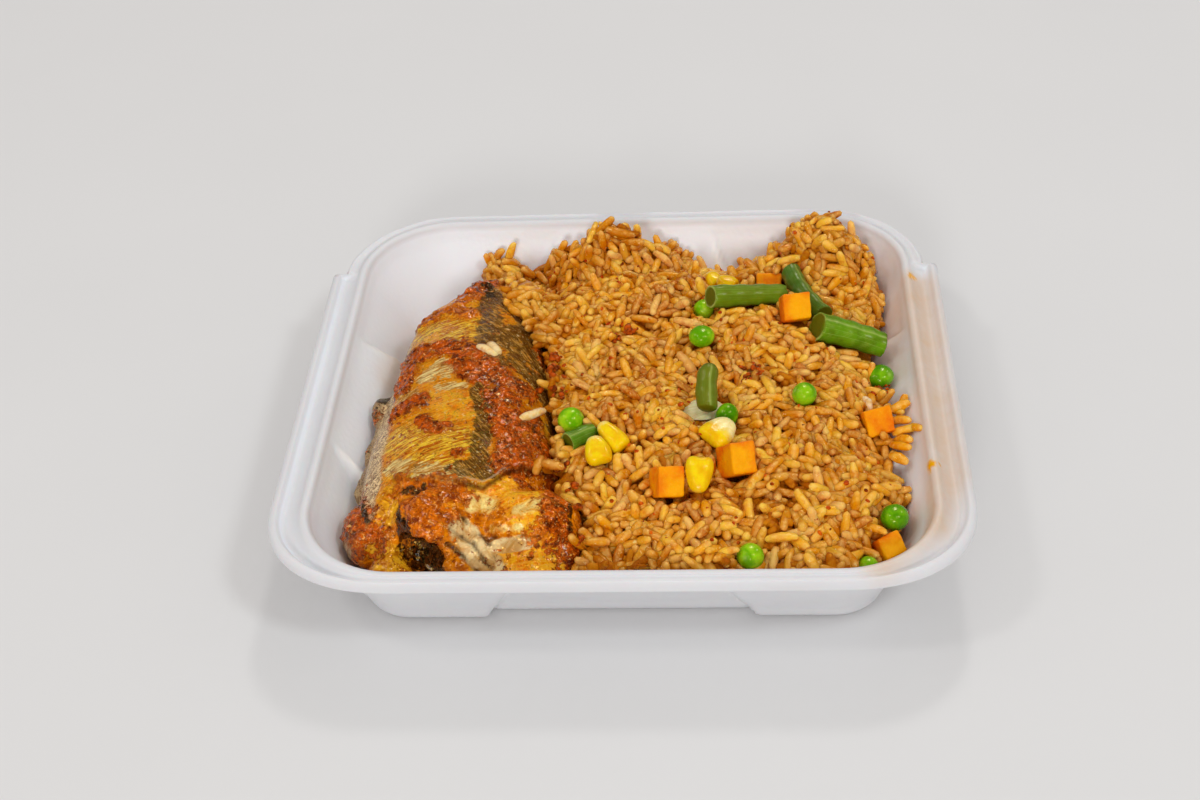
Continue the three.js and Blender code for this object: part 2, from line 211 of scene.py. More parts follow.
def makeCamera():
    data = bpy.data.cameras.new("camera")
    data.lens = camera["lens"]
    data.sensor_width = 36
    data.clip_start = 0.01
    data.clip_end = 20
    piece = addObject("camera", data)
    turn = Matrix.Rotation(math.radians(camera["turn"]), 4, "Z")
    tilt = Matrix.Rotation(math.radians(90 - camera["down"]), 4, "X")
    roll = Matrix.Rotation(math.radians(camera["roll"]), 4, "Z")
    piece.matrix_world = Matrix.Translation(camera["place"]) @ turn @ tilt @ roll
    bpy.context.scene.camera = piece


makeCamera()
print("camera ready")


# Materials.

class Wire:  # one output socket; sums on it become Math nodes
    def __init__(self, paint, socket):
        self.paint = paint
        self.socket = socket

    def __add__(self, other):
        return self.paint.math("ADD", self, other)

    def __sub__(self, other):
        return self.paint.math("SUBTRACT", self, other)

    def __rsub__(self, other):
        return self.paint.math("SUBTRACT", other, self)

    def __mul__(self, other):
        return self.paint.math("MULTIPLY", self, other)

    __radd__ = __add__
    __rmul__ = __mul__


class Paint:  # a material and the nodes that feed it; a colour is red, green and blue from 0 to 255
    def __init__(self, name, **look):
        self.material = bpy.data.materials.new(name)
        self.material.use_nodes = True
        self.tree = self.material.node_tree
        self.shader = self.tree.nodes["Principled BSDF"]
        for socket, value in look.items():
            self.feed(self.shader.inputs[socket.replace("_", " ")], value)
        self.place = self.node("ShaderNodeTexCoord", output="Object")

    def feed(self, socket, value):
        if isinstance(value, Wire):
            self.tree.links.new(value.socket, socket)
        else:
            socket.default_value = tone(*value) if socket.type == "RGBA" else value

    def node(self, kind, settings={}, inputs={}, output=0):
        made = self.tree.nodes.new(kind)
        for name, value in settings.items():
            setattr(made, name, value)
        for name, value in inputs.items():
            self.feed(made.inputs[name], value)
        return Wire(self, made.outputs[output])

    def math(self, operation, *values):
        return self.node("ShaderNodeMath", {"operation": operation}, dict(enumerate(values)))

    def mask(self, name):
        return self.node("ShaderNodeAttribute", {"attribute_name": name}, output="Fac")

    def grain(self, size, detail=2, stretch=(1, 1, 1), turn=(0, 0, 0), warp=0, rough=0.5):
        # noise from 0 to 1, with features about size millimetres across
        turned = [math.radians(angle) for angle in turn]
        drawn = {"Vector": self.place, "Rotation": turned, "Scale": stretch}
        at = self.node("ShaderNodeMapping", {"vector_type": "TEXTURE"}, drawn)
        inputs = {"Vector": at, "Scale": 1 / (size * mm), "Detail": detail}
        return self.node("ShaderNodeTexNoise", {}, {**inputs, "Roughness": rough, "Distortion": warp})

    def lines(self, across):  # stripes that change as a value does
        return self.node("ShaderNodeTexNoise", {"noise_dimensions": "1D"}, {"W": across, "Detail": 3})

    def fade(self, value, low, high):
        inputs = {"Value": value, "From Min": low, "From Max": high}
        return self.node("ShaderNodeMapRange", {"interpolation_type": "SMOOTHSTEP"}, inputs)

    def spots(self, low, high, *sizes, **options):  # noise with most of it gone, in soft spots
        return self.fade(self.grain(*sizes, **options), low, high)

    def ragged(self, mask, size, wander, low, high):
        # a soft mask given an edge that is broken at two scales, with holes in it and crumbs beyond it
        coarse, fine = self.grain(size, 4, rough=0.6), self.grain(size / 3, 3, rough=0.6)
        return self.fade(mask + wander * (coarse - 0.5) + 0.7 * wander * (fine - 0.5), low, high)

    def mix(self, share, first, second):
        return self.node("ShaderNodeMix", {"data_type": "RGBA"}, {0: share, 6: first, 7: second}, 2)

    def blend(self, value, low, high, first, second):  # from one colour to another as a value rises
        return self.mix(self.fade(value, low, high), first, second)

    def layers(self, colour, *rows):  # more colours laid over one, each by its share
        for share, over in rows:
            colour = self.mix(share, colour, over)
        return colour

    def bump(self, height, depth, strength):  # depth in millimetres
        inputs = {"Height": height, "Distance": depth * mm, "Strength": strength}
        return self.node("ShaderNodeBump", {}, inputs, "Normal")

    def finish(self, colour, roughness=None, normal=None, coat=None):
        feeds = {"Base Color": colour, "Roughness": roughness, "Normal": normal, "Coat Weight": coat}
        for name, value in feeds.items():
            if value is not None:
                self.feed(self.shader.inputs[name], value)
        return self


def wetPaint(name, soft, reach, **look):
    # food under oil, which tints its highlights; soft is how much light goes in, reach how deep in mm
    oily = {"Specular_IOR_Level": 0.44, "Specular_Tint": (255, 200, 92)}
    return Paint(name, Subsurface_Weight=soft, Subsurface_Scale=reach * mm, **{**oily, **look})


# The foam tray.

tray = {
    "ridgeWidth": 192,
    "ridgeDepth": 185,
    "height": 35,
    "cornerRadius": 31,
    "wall": 3,
    "floor": 2.6,
    "draft": 0.568,
    "wallTop": 31,
    "ridgeHalf": 2.6,
    "sideFlange": 10.9,
    "frontFlange": 3,
    "hingeFlange": 6.4,
    "groove": 3.2,
    "lipHeight": 4.2,
    "panelHalf": 27,
    "panelSpread": 15,
    "panelPush": 3.4,
    "foldRidge": 0.26,  # share of that push by which a panel's fold stands out
    "torn": 0.28,  # how far the hinge's torn edge strays
    "shift": -0.6,
    "bead": 2.3,  # size of the beads that the foam is made of
    "step": 1.2,  # between stations on the straight sides
    "cornerSteps": 20,
}
halfX = tray["ridgeWidth"] / 2
halfY = tray["ridgeDepth"] / 2
straightX = halfX - tray["cornerRadius"]
straightY = halfY - tray["cornerRadius"]


def trayStations():
    # round the ridge, anticlockwise from the right side's front end: x, y, way out, place along, flange
    rows = []
    atCorner = 999  # stands for a place along the side where no panel reaches

    def side(nx, ny, straight, flange):
        for along in np.linspace(-straight, straight, round(2 * straight / tray["step"]) + 1):
            x = nx * halfX - ny * along
            y = ny * halfY + nx * along
            rows.append((x, y, nx, ny, abs(along), flange))

    def corner(sx, sy, start, flangeAt):
        for i in range(1, tray["cornerSteps"]):
            share = i / tray["cornerSteps"]
            angle = start + share * math.pi / 2
            nx, ny = math.cos(angle), math.sin(angle)
            x = sx * straightX + nx * tray["cornerRadius"]
            y = sy * straightY + ny * tray["cornerRadius"]
            rows.append((x, y, nx, ny, atCorner, flangeAt(share)))

    def narrowing(share):
        wide, thin = tray["sideFlange"], tray["frontFlange"]
        return wide + (thin - wide) * float(fade(share, 0.1, 1))

    hinge = tray["hingeFlange"]
    side(1, 0, straightY, tray["sideFlange"])
    rows.append((halfX, straightY + 0.2, 1, 0, atCorner, hinge))
    corner(1, 1, 0, lambda share: hinge)
    side(0, 1, straightX, hinge)
    corner(-1, 1, math.pi / 2, lambda share: hinge)
    rows.append((-halfX, straightY + 0.2, -1, 0, atCorner, hinge))
    side(-1, 0, straightY, tray["sideFlange"])
    corner(-1, -1, math.pi, narrowing)
    side(0, -1, straightX, tray["frontFlange"])
    corner(1, -1, 1.5 * math.pi, lambda share: narrowing(1 - share))
    return np.array(rows)


def innerOffset(z):  # how far the wall's inner face is outside the ridge line
    return -tray["ridgeHalf"] - np.maximum(0, tray["wallTop"] - z) * tray["draft"]


def panelFold(along, z):  # how deep a place is, where its panel ends, and how near it is to the fold there
    depth = np.clip((tray["height"] - z) / tray["height"], 0, 1)
    edge = tray["panelHalf"] + tray["panelSpread"] * depth
    return depth, edge, bell(along - edge + 1.6, 0.9)


def panelPush(along, z):
    depth, edge, fold = panelFold(along, z)
    inside = 1 - fade(along, edge - 2, edge)
    return (inside + tray["foldRidge"] * fold) * tray["panelPush"] * fade(depth, 0.05, 0.5)


def traySection(station):  # the foam's section, from the base's middle round the lip to the floor's middle
    top, groove, width = tray["height"], tray["groove"], station[5]
    wide = (width - tray["frontFlange"]) / (tray["sideFlange"] - tray["frontFlange"])
    isHinge = station[3] >= 0 and width == tray["hingeFlange"]
    lipDrop = 1.0 if isHinge else 0.9
    dip = 1.5 if isHinge else 0.9 + (groove - 0.9) * float(fade(wide, 0, 0.6))
    lip = top - lipDrop
    outer = [(1, -6, 0), (1, -0.6, 0), (3, 0.3, 2), (6, 0, 6), (17, 0, 17), (28.2, 0, top - groove - 3.6)]
    rows = [(innerOffset(at) + tray["wall"] + more, z) for at, more, z in outer]
    rows += [
        (min(0.45 * width, 4.5), top - groove - 2.9),
        (width - min(1.8, 0.4 * width), lip - tray["lipHeight"] - 0.3),
        (width - 0.15, lip - tray["lipHeight"]),
        (width, lip - tray["lipHeight"] + 0.5),
        (width, lip - 1.4),
        (0.9 * width, lip - 0.1),
        (0.76 * width, lip),
        (0.6 * width, top - dip * 0.95),
        (0.42 * width, top - dip),
        (min(0.25 * width, 2), top - (0.5 + 0.9 * wide)),
        (0.7, top),
        (-0.9, top),
        (-1.9, top - 1.1),
        *[(innerOffset(z), z) for z in (29, 24, 18, 12, 7)],
        (innerOffset(4) - 0.3, 4),
        (innerOffset(2.6) - 1.4, tray["floor"]),
        (innerOffset(2.6) - 8, tray["floor"]),
    ]
    return np.array(rows)


def rounded(rows, steps):  # more points between the given ones, on a smooth curve through them
    out = []
    last = len(rows) - 1
    for i in range(last):
        before, start, end, after = rows[max(i - 1, 0)], rows[i], rows[i + 1], rows[min(i + 2, last)]
        reach = np.linalg.norm(end - start)
        pullStart = reach * (end - before) / np.linalg.norm(end - before)
        pullEnd = reach * (after - start) / np.linalg.norm(after - start)
        for t in np.arange(steps) / steps:
            a, b = 2 * t**3 - 3 * t**2 + 1, t**3 - 2 * t**2 + t
            c, d = 3 * t**2 - 2 * t**3, t**3 - t**2
            out.append(a * start + b * pullStart + c * end + d * pullEnd)
    out.append(rows[last])
    return np.array(out)


def trayPoints(stations, offset, z):  # where the foam's section puts points, at a station each
    inside = (offset < 0) & (z < tray["wallTop"])
    out = np.where(inside, offset - panelPush(stations[:, 4], z), offset)
    x = stations[:, 0] + stations[:, 2] * out
    y = stations[:, 1] + stations[:, 3] * out + tray["shift"]
    return np.stack([x, y, z], axis=1)


def insideWall(points, gap):
    # moves points that stand in the wall back to its inner face, and lifts them off the floor
    points = points.copy()
    points[:, 2] = np.maximum(points[:, 2], tray["floor"] + gap)
    offset = innerOffset(points[:, 2]) - gap
    radius = tray["cornerRadius"] + offset
    place = points[:, :2] - (0, tray["shift"])
    beyond = np.abs(place) - np.stack([halfX + offset - radius, halfY + offset - radius], axis=1)
    along = np.where(beyond[:, 0] > beyond[:, 1], np.abs(place[:, 1]), np.abs(place[:, 0]))
    push = panelPush(along, points[:, 2]) * (points[:, 2] < tray["wallTop"])
    reach = np.maximum(beyond, 0)
    away = np.linalg.norm(reach, axis=1) + np.minimum(beyond.max(axis=1), 0) - radius + push
    way = reach / np.maximum(np.linalg.norm(reach, axis=1, keepdims=True), 1e-9) * np.sign(place)
    points[:, :2] -= way * np.maximum(away, 0)[:, None]
    return points


def makeTray():
    stations = trayStations()
    sections = np.array([rounded(traySection(station), 3) for station in stations])
    rings, rows = len(stations), sections.shape[1]
    # the flat sheet's own places tell which station and row a point belongs to
    mesh, sheet = startMesh("tray", bmesh.ops.create_grid, x_segments=rings, y_segments=rows - 1, size=1)
    ring = np.rint((sheet[:, 0] + 1) / 2 * rings).astype(int) % rings
    row = np.rint((sheet[:, 1] + 1) / 2 * (rows - 1)).astype(int)
    offset, z = sections[ring, row, 0], sections[ring, row, 1]
    points = trayPoints(stations[ring], offset, z)
    isLip = (stations[ring, 5] == tray["hingeFlange"]) & (offset > 2.5)  # the hinge's outer edge
    torn = noises(points, (1, 5, 3), (0.6, 1.7, 4))
    points[:, :2] += stations[ring, 2:4] * (isLip * tray["torn"] * torn)[:, None]
    movePoints(mesh, points)
    depth, _, fold = panelFold(stations[ring, 4], z)
    # fold is a painted highlight, white along the panels' folds on the inner wall
    addMasks(mesh, fold=fold * (offset < 0) * fade(depth, 0.12, 0.3) * (1 - fade(depth, 0.8, 0.9)))
    shape = shapeOf(mesh)
    bmesh.ops.remove_doubles(shape, verts=shape.verts, dist=0.001 * mm)
    bmesh.ops.holes_fill(shape, edges=shape.edges, sides=0)
    bmesh.ops.recalc_face_normals(shape, faces=shape.faces)
    return meshOf(shape, "tray")


oil = {  # where the stew's oil has coloured the foam, together with painted warm light reflected from the rice and painted shade: places and radii, and how strongly
    "wall": ([([(84, 62, 24), (87, 20, 20), (87, -10, 20)], 19), ([(84, 66, 22), (66, 80, 22)], 14)], 0.36),
    "wallLow": ([([(87, -10, 20), (87, -40, 20), (80, -72, 20)], 17)], 0.05),
    "behind": ([([(90, 44, 26), (90, 8, 24)], 12), ([(60, 84, 20), (72, 82, 24)], 9)], 0.46),
    "rim": ([([(99, 50, 34), (99, -50, 34), (93, -72, 34), (76, -88, 34)], 9)], 0.52),
    "groove": ([([(102, 34, 32), (102, -45, 32), (96, -70, 32)], 5)], 0.45),
    "front": ([([(86, -60, 20), (74, -80, 22), (50, -88, 22)], 13)], 0.45),
    "fish": (
        [([(-88, -60, 14), (-76, -82, 14), (-50, -86, 22)], 10), ([(-78, 20, 20), (-72, 58, 12)], 12)], 0.4
    ),
}
splashes = [
    ([(97.6, 53.4, 34)], 1.7), ([(96.6, 51.8, 34.5)], 1.0), ([(94.5, -46.8, 34.5)], 1.9),
    ([(94.8, -49, 34), (95, -53, 33.4)], 0.8), ([(97, -46.2, 33.8)], 1.0),
]


def strokes(points, rows):  # how far points are from the nearest stroke, in that stroke's radii
    near = np.full(len(points), 9.0)
    for line, radius in rows:
        line = np.array(line, float)
        ends = line[1:] if len(line) > 1 else line
        for start, end in zip(line, ends):
            along = end - start
            share = np.clip((points - start) @ along / max(along @ along, 1e-9), 0, 1)
            away = np.linalg.norm(points - start - share[:, None] * along, axis=1)
            near = np.minimum(near, away / radius)
    return near


def foamPaint():
    paint = Paint("foam", Subsurface_Weight=0.12, Subsurface_Scale=0.004, Specular_IOR_Level=0.25)
    size = {"Vector": paint.place, "Scale": 1 / (tray["bead"] * mm)}
    beads = paint.node("ShaderNodeTexVoronoi", {}, size, "Distance")
    blotch = paint.grain(16, 4, rough=0.6) + 0.4 * paint.grain(3, 3)
    # oil stain, mixed with painted warm reflected light and painted shade
    stainAndReflection = paint.fade(paint.mask("oil") * (0.55 + 0.65 * blotch), 0, 1.0)
    colour = paint.layers(
        paint.mix(paint.grain(28, 3), (216, 217, 221), (225, 225, 228)),
        # painted light: the inward faces lighter and cooler than the outside
        (paint.mask("inner"), (240, 244, 251)),
        # painted highlight along the panels' folds
        (paint.mask("fold"), (255, 255, 255)),
        (stainAndReflection, (214, 171, 120)),
        (0.5 * paint.fade(stainAndReflection, 0.55, 0.95), (222, 164, 78)),
        (paint.mask("splash"), (236, 168, 10)),
    )
    rough = 0.5 - 0.14 * paint.grain(3.5) - 0.25 * paint.mask("splash") - 0.15 * stainAndReflection
    height = 0.5 * paint.fade(beads, 0, 0.8) + 0.35 * paint.grain(0.9, 3) + paint.grain(14, 2)
    return paint.finish(colour, rough, paint.bump(height, 0.16, 0.55))


def dressTray(mesh):
    points = pointsOf(mesh)
    outward = (normalsOf(mesh) * unit(points * (1, 1, 0))).sum(axis=1)
    stainsAndReflections = [weight * (1 - fade(strokes(points, rows), 0.2, 1.4)) for rows, weight in oil.values()]
    addMasks(
        mesh,
        # inner is painted light on the faces that turn inwards, below the lip
        inner=fade(-outward, 0.2, 0.8) * (1 - fade(points[:, 2], 32.5, 34)),
        # oil stain with painted reflected light and shade, on the inner faces and the rim's top
        oil=np.max(stainsAndReflections, axis=0) * np.maximum(outward < 0.3, fade(points[:, 2], 29.5, 31)),
        splash=1 - fade(strokes(points, splashes) + 0.25 * noise(points, 1.2, 2), 0.7, 1.15),
    )


trayMesh = makeTray()
dressTray(trayMesh)
addPiece("foam_tray", trayMesh, "foam", foamPaint(), ["tray"])
print("tray ready", len(trayMesh.polygons))


# The fried fish.

fish = {
    "stations": [  # y, middle x, half width, top height
        (-84, -48, 32, 35), (-74, -48, 34, 40), (-62, -49, 35.5, 43), (-40, -51, 32.5, 44),
        (-5, -51.5, 28, 42.5), (25, -53, 25, 39.5), (40, -54, 22.5, 36.5), (49, -53.5, 17.5, 34.5),
        (58, -51.5, 11, 32.5), (68, -50.5, 7, 28),
    ],
    "widest": 19,
    "bottom": 3.2,
    "lumps": [  # middle x, y, z and half sizes
        (-55, -69, 33, 13, 10, 8.5),  # gill cover
        (-77, -62, 21, 8.5, 11, 9),  # stew in the left corner
        (-66, -80, 20, 11, 7, 8),  # jaw
        (-41, -76, 23, 11, 9, 11),  # white flesh
        (-27, -68, 31, 14, 12, 9.5),  # shoulder
        (-28, -79, 20, 14, 8, 9),  # belly
        (-15.5, -68, 25, 5, 11, 10),  # stew at the right edge
        (-82, -4, 24.5, 3, 5, 3.4),  # fin's root
    ],
    "mouth": (-60, -81, 29, 8, 8, 7),  # middle and half sizes
    "mouthDepth": 9,
    "mouthWay": (0.12, 0.9, -0.2),
    "fin": {"x": -80.4, "y": -22, "z": 19.5, "thick": 4, "length": 46, "height": 11},
    "skinStep": 2.2,
    "coarse": 0.95,  # sizes of the two skins wrapped round the lumps
    "fine": 0.7,
    # the skin's torn front edge, y at places along x
    "edgeX": (-84, -76, -72, -69.5, -63, -56, -49, -44, -40.5, -38, -34.5, -30, -26, -21, -10),
    "edgeY": (-72, -67, -60, -54.5, -56, -57.5, -58.5, -60.5, -61, -58.5, -54, -50, -48, -47, -44),
}

# Patches on the fish: strokes as places and a radius.
patches = {
    "stew": [  # deep red-brown
        ([(-72, 9, 35), (-60, 7.5, 40), (-52, 5, 41), (-45, 1, 41.5)], 5.2),
        ([(-72, 8, 35), (-72.5, -9, 37.5)], 4.6), ([(-53, -1, 42), (-49, -8, 42.3), (-44, -12, 42.5)], 4.6),
        ([(-44, -6, 42), (-38, -12, 41), (-33, -14, 39)], 6.5),
        ([(-38, -20, 41), (-34.5, -32, 40.5), (-32.5, -42, 40), (-32, -50, 40)], 6.6),
        ([(-29, -26, 37), (-26, -38, 35), (-23, -44, 32)], 5), ([(-71.5, -22, 38), (-65, -21, 41.4)], 4.4),
        ([(-62, -31, 42)], 2.8), ([(-59.4, -35.7, 42.5), (-54.6, -36.3, 42.9)], 2.6),
        ([(-49.6, -48.2, 42.3)], 2.2), ([(-20, -46, 28)], 5),
        ([(-22, -50, 33), (-18.5, -57, 34), (-19, -68, 38), (-17.5, -76, 31), (-14, -77, 25)], 4.8),
        ([(-30, 17, 31), (-27, 4, 27)], 2.6), ([(-57, 50, 32), (-53, 57, 31.5), (-51.5, 64, 29)], 4),
        ([(-81.5, -61.7, 28.6), (-77, -68.5, 27.8), (-73, -71, 28)], 6.6),
    ],
    "crust": [  # orange and grainy
        ([(-70, 33, 32), (-61.7, 35.4, 35.3), (-54, 31, 37)], 4.2),
        ([(-57, 42, 34), (-54.6, 52, 32.6), (-53, 60, 30)], 4.4),
        ([(-65, -59, 39), (-56, -61, 40), (-48, -64, 38.8)], 5.4),
        ([(-61, -66, 40), (-55, -72, 40.5), (-57, -76, 37.5)], 5.6), ([(-49.3, -73, 39)], 3.4),
        ([(-83, -9, 24)], 3.4), ([(-24, -76, 36), (-20, -72, 38)], 3.2),
        ([(-30, -55, 38), (-23, -56, 36)], 2.2), ([(-66, -83, 21), (-56, -84, 19), (-44, -86, 20)], 3.6),
    ],
    "yellow": [  # skin of a golden yellow
        ([(-73, 24, 32), (-63.4, 22.2, 37.5), (-53, 18, 39.7)], 6.4),
        ([(-69, -38, 39.5), (-55, -42, 42.7), (-47, -42, 43)], 6.4),
        ([(-67, -50, 39.6), (-54, -53, 41.7)], 5),
    ],
    "amber": [  # glowing orange
        ([(-66, 17.5, 37.3)], 3.4), ([(-58, -21, 43), (-50, -22, 43), (-46, -28, 43)], 5.2),
        ([(-55, -30, 43)], 4.2), ([(-29, -33, 37), (-25, -24, 33)], 3),
        ([(-40, -62, 39.5), (-33, -59, 39.5), (-29, -66, 39.5), (-27, -73, 37)], 5.6),
        ([(-37, -83.5, 26), (-22, -81, 27)], 6.6),
    ],
    "pale": [
        ([(-64, -8, 40.6), (-60, -2.5, 41.3), (-57, -6, 42.2)], 3.4),
        ([(-59, -15, 42.8), (-51, -15, 42.8)], 1.9), ([(-72.5, -15, 37.5), (-67.6, -14.8, 40.7)], 2.2),
        ([(-70, -49, 38.5), (-59, -54.5, 41), (-49, -56, 41.5)], 3.2), ([(-48, 20, 39.5)], 2),
    ],
    "dark": [
        ([(-50.7, 53, 32), (-47, 43, 34.5), (-49, 34, 36.7)], 4.4),
        ([(-48, 33, 37), (-46, 27, 37.6), (-46.5, 15, 39.5), (-45.5, 7, 40.6)], 3.8),
        ([(-42, 40, 33.7), (-36.5, 37, 32), (-32.5, 28, 31)], 5.4), ([(-41, 20, 38), (-36, 8, 37)], 5),
        ([(-38, 22, 36), (-30, 14, 33), (-27.5, 4, 31.5), (-25, -8, 30), (-22, -26, 26),
          (-20, -40, 20)], 4.6),
        ([(-41, 1, 40.3), (-34, 0, 37.6), (-28, -4, 34)], 4.4),
        ([(-46, -17, 42.8), (-43, -25, 42.6), (-42.5, -35, 43), (-42.6, -46, 42.8), (-42.5, -53, 41.7)], 3.1),
        ([(-48.5, -54, 41.6), (-40.5, -54.5, 41.4), (-36, -50, 41)], 3.4),
    ],
    "burn": [
        ([(-64, -60.5, 38.7), (-60, -60, 39.6)], 2.5), ([(-51, 55, 31.5), (-49, 48, 33)], 2.4),
        ([(-81, -2.5, 27)], 3.2), ([(-78, -60, 31), (-76, -65, 30)], 1.6),
        ([(-57, -79, 23), (-53, -81.5, 24)], 2.6), ([(-15, -66, 35), (-14.4, -73, 33)], 1.4),
        ([(-65.5, -69, 37.5)], 1.8),
    ],
    "cream": [
        ([(-42.5, -66, 38.3), (-38, -66, 37.8)], 3.4), ([(-29, -71, 39.5), (-25, -69, 40)], 2.9),
        ([(-36.5, -74.3, 34.7), (-29, -75.6, 36.9)], 1.8),
    ],
    "flesh": [
        ([(-46, -75, 36), (-44, -78, 33), (-41, -80.5, 31), (-38, -83, 28)], 4.4),
        ([(-36, -78.5, 32), (-30, -79, 33), (-26, -79, 34)], 2.1),
    ],
    "gill": [
        ([(-71.5, -56, 36.5), (-71.5, -61, 35.5), (-69.5, -66, 34)], 3.8),
        ([(-72, -75, 25), (-67, -80.5, 26)], 5.4),
    ],
    # a hollow, painted dark as shade
    "hole": [
        ([(-64.5, -72.5, 35.5), (-62, -76, 31)], 3.6),
        ([(-61, -76, 29.5), (-57.5, -77, 27), (-54, -79.5, 25.5)], 5),
    ],
}
fleshCracks = [  # thin folds in the flesh, darkened with painted shade
    [(-49.6, -76, 36.9), (-46.7, -75.9, 33.9), (-42.6, -78.5, 33), (-39.5, -81.9, 30.1),
     (-37.1, -82.8, 26.8)],
    [(-50.5, -78, 33), (-46, -80.5, 30.5), (-41, -84, 26)],
    [(-46, -71.5, 37.6), (-42, -74, 35.3), (-38.5, -77, 33.4), (-36.5, -81, 30)],
    [(-37, -76.4, 33.5), (-30, -77.2, 35), (-23, -77, 35.2)],
]


def signedPower(value, power):
    return np.sign(value) * np.abs(value) ** power


def fishBody():
    mesh, ball = startMesh("fish", bmesh.ops.create_uvsphere, u_segments=96, v_segments=80, radius=1)
    rows = np.array(fish["stations"], float)
    fineY = np.linspace(rows[0, 0], rows[-1, 0], 153)
    soften = bell(np.linspace(-2, 2, 13), 1)
    soften /= soften.sum()
    y = rows[0, 0] + (rows[-1, 0] - rows[0, 0]) * (1 - ball[:, 2]) / 2

    def smoothed(column):  # a column of the stations at each point
        values = np.pad(np.interp(fineY, rows[:, 0], rows[:, column]), 6, "edge")
        return np.interp(y, fineY, np.convolve(values, soften, "valid"))

    middle, width, top = smoothed(1), smoothed(2), smoothed(3)
    ring = np.hypot(ball[:, 0], ball[:, 1])
    blunt = ring**0.27
    across = signedPower(ball[:, 0] / np.maximum(ring, 1e-6), 0.85)
    up = signedPower(ball[:, 1] / np.maximum(ring, 1e-6), 0.9)
    x = middle + width * blunt * across
    edge = np.interp(x, fish["edgeX"], fish["edgeY"])
    skin = -fish["skinStep"] * (1 - fade(y, edge - 1.5, edge)) * (up > -0.2)
    reach = np.where(up > 0, top - fish["widest"], fish["widest"] - fish["bottom"])
    z = fish["widest"] + (reach + skin) * blunt * up
    movePoints(mesh, np.stack([x + skin * across, y, z], axis=1))
    return mesh


def lumpMesh(row, seed):
    mesh, ball = startMesh("lump", bmesh.ops.create_icosphere, subdivisions=4, radius=1)
    bump = 1 + 0.07 * noise(ball, 0.5, seed) + 0.04 * noise(ball, 0.22, seed + 1)
    movePoints(mesh, np.array(row[:3]) + ball * bump[:, None] * np.array(row[3:]))
    return mesh


def finMesh():
    fin = fish["fin"]
    shape = bmesh.new()
    bmesh.ops.create_cube(shape, size=1)
    bmesh.ops.subdivide_edges(shape, edges=shape.edges, cuts=30, use_grid_fill=True)
    mesh = meshOf(shape, "fin")
    cube = pointsOf(mesh) * mm
    y = cube[:, 1] * fin["length"]
    z = cube[:, 2] * fin["height"] * (1 + 0.1 * noise(cube * (0, 60, 0), 2.2, 8))
    thin = 1 - 0.45 * fade(cube[:, 2], 0, 0.5)
    ripple = 0.7 * np.sin(y * 0.35) + 0.07 * y - 0.35 * z + 0.35 * np.sin(y * 1.9)
    x = cube[:, 0] * fin["thick"] * thin + ripple
    movePoints(mesh, np.stack([fin["x"] + x, fin["y"] + y, fin["z"] + z + 0.06 * y], axis=1))
    return mesh


def makeFish():
    lumps = [lumpMesh(row, seed) for seed, row in enumerate(fish["lumps"])]
    mesh = wrapped(meshOf(shapeOf(fishBody(), *lumps, finMesh()), "fish"), fish["coarse"])
    points = pointsOf(mesh)
    mouth = np.array(fish["mouth"], float)
    inMouth = np.linalg.norm((points - mouth[:3]) / mouth[3:], axis=1) + 0.12 * noise(points, 3, 12)
    hollow = fish["mouthDepth"] * np.sqrt(np.clip(1 - inMouth, 0, 1))
    movePoints(mesh, points + hollow[:, None] * np.array(fish["mouthWay"]))
    mesh = wrapped(mesh, fish["fine"], 4)
    dressFish(mesh)
    return mesh


def nearness(points, rows, seed):  # 1 in the middle of strokes, 0.5 at their edge, fading out beyond it
    wander = noise(points, 5, seed) + 0.6 * noise(points, 2, seed + 1)
    return 1 - fade(strokes(points, rows) + 0.22 * wander, 0.45, 1.55)


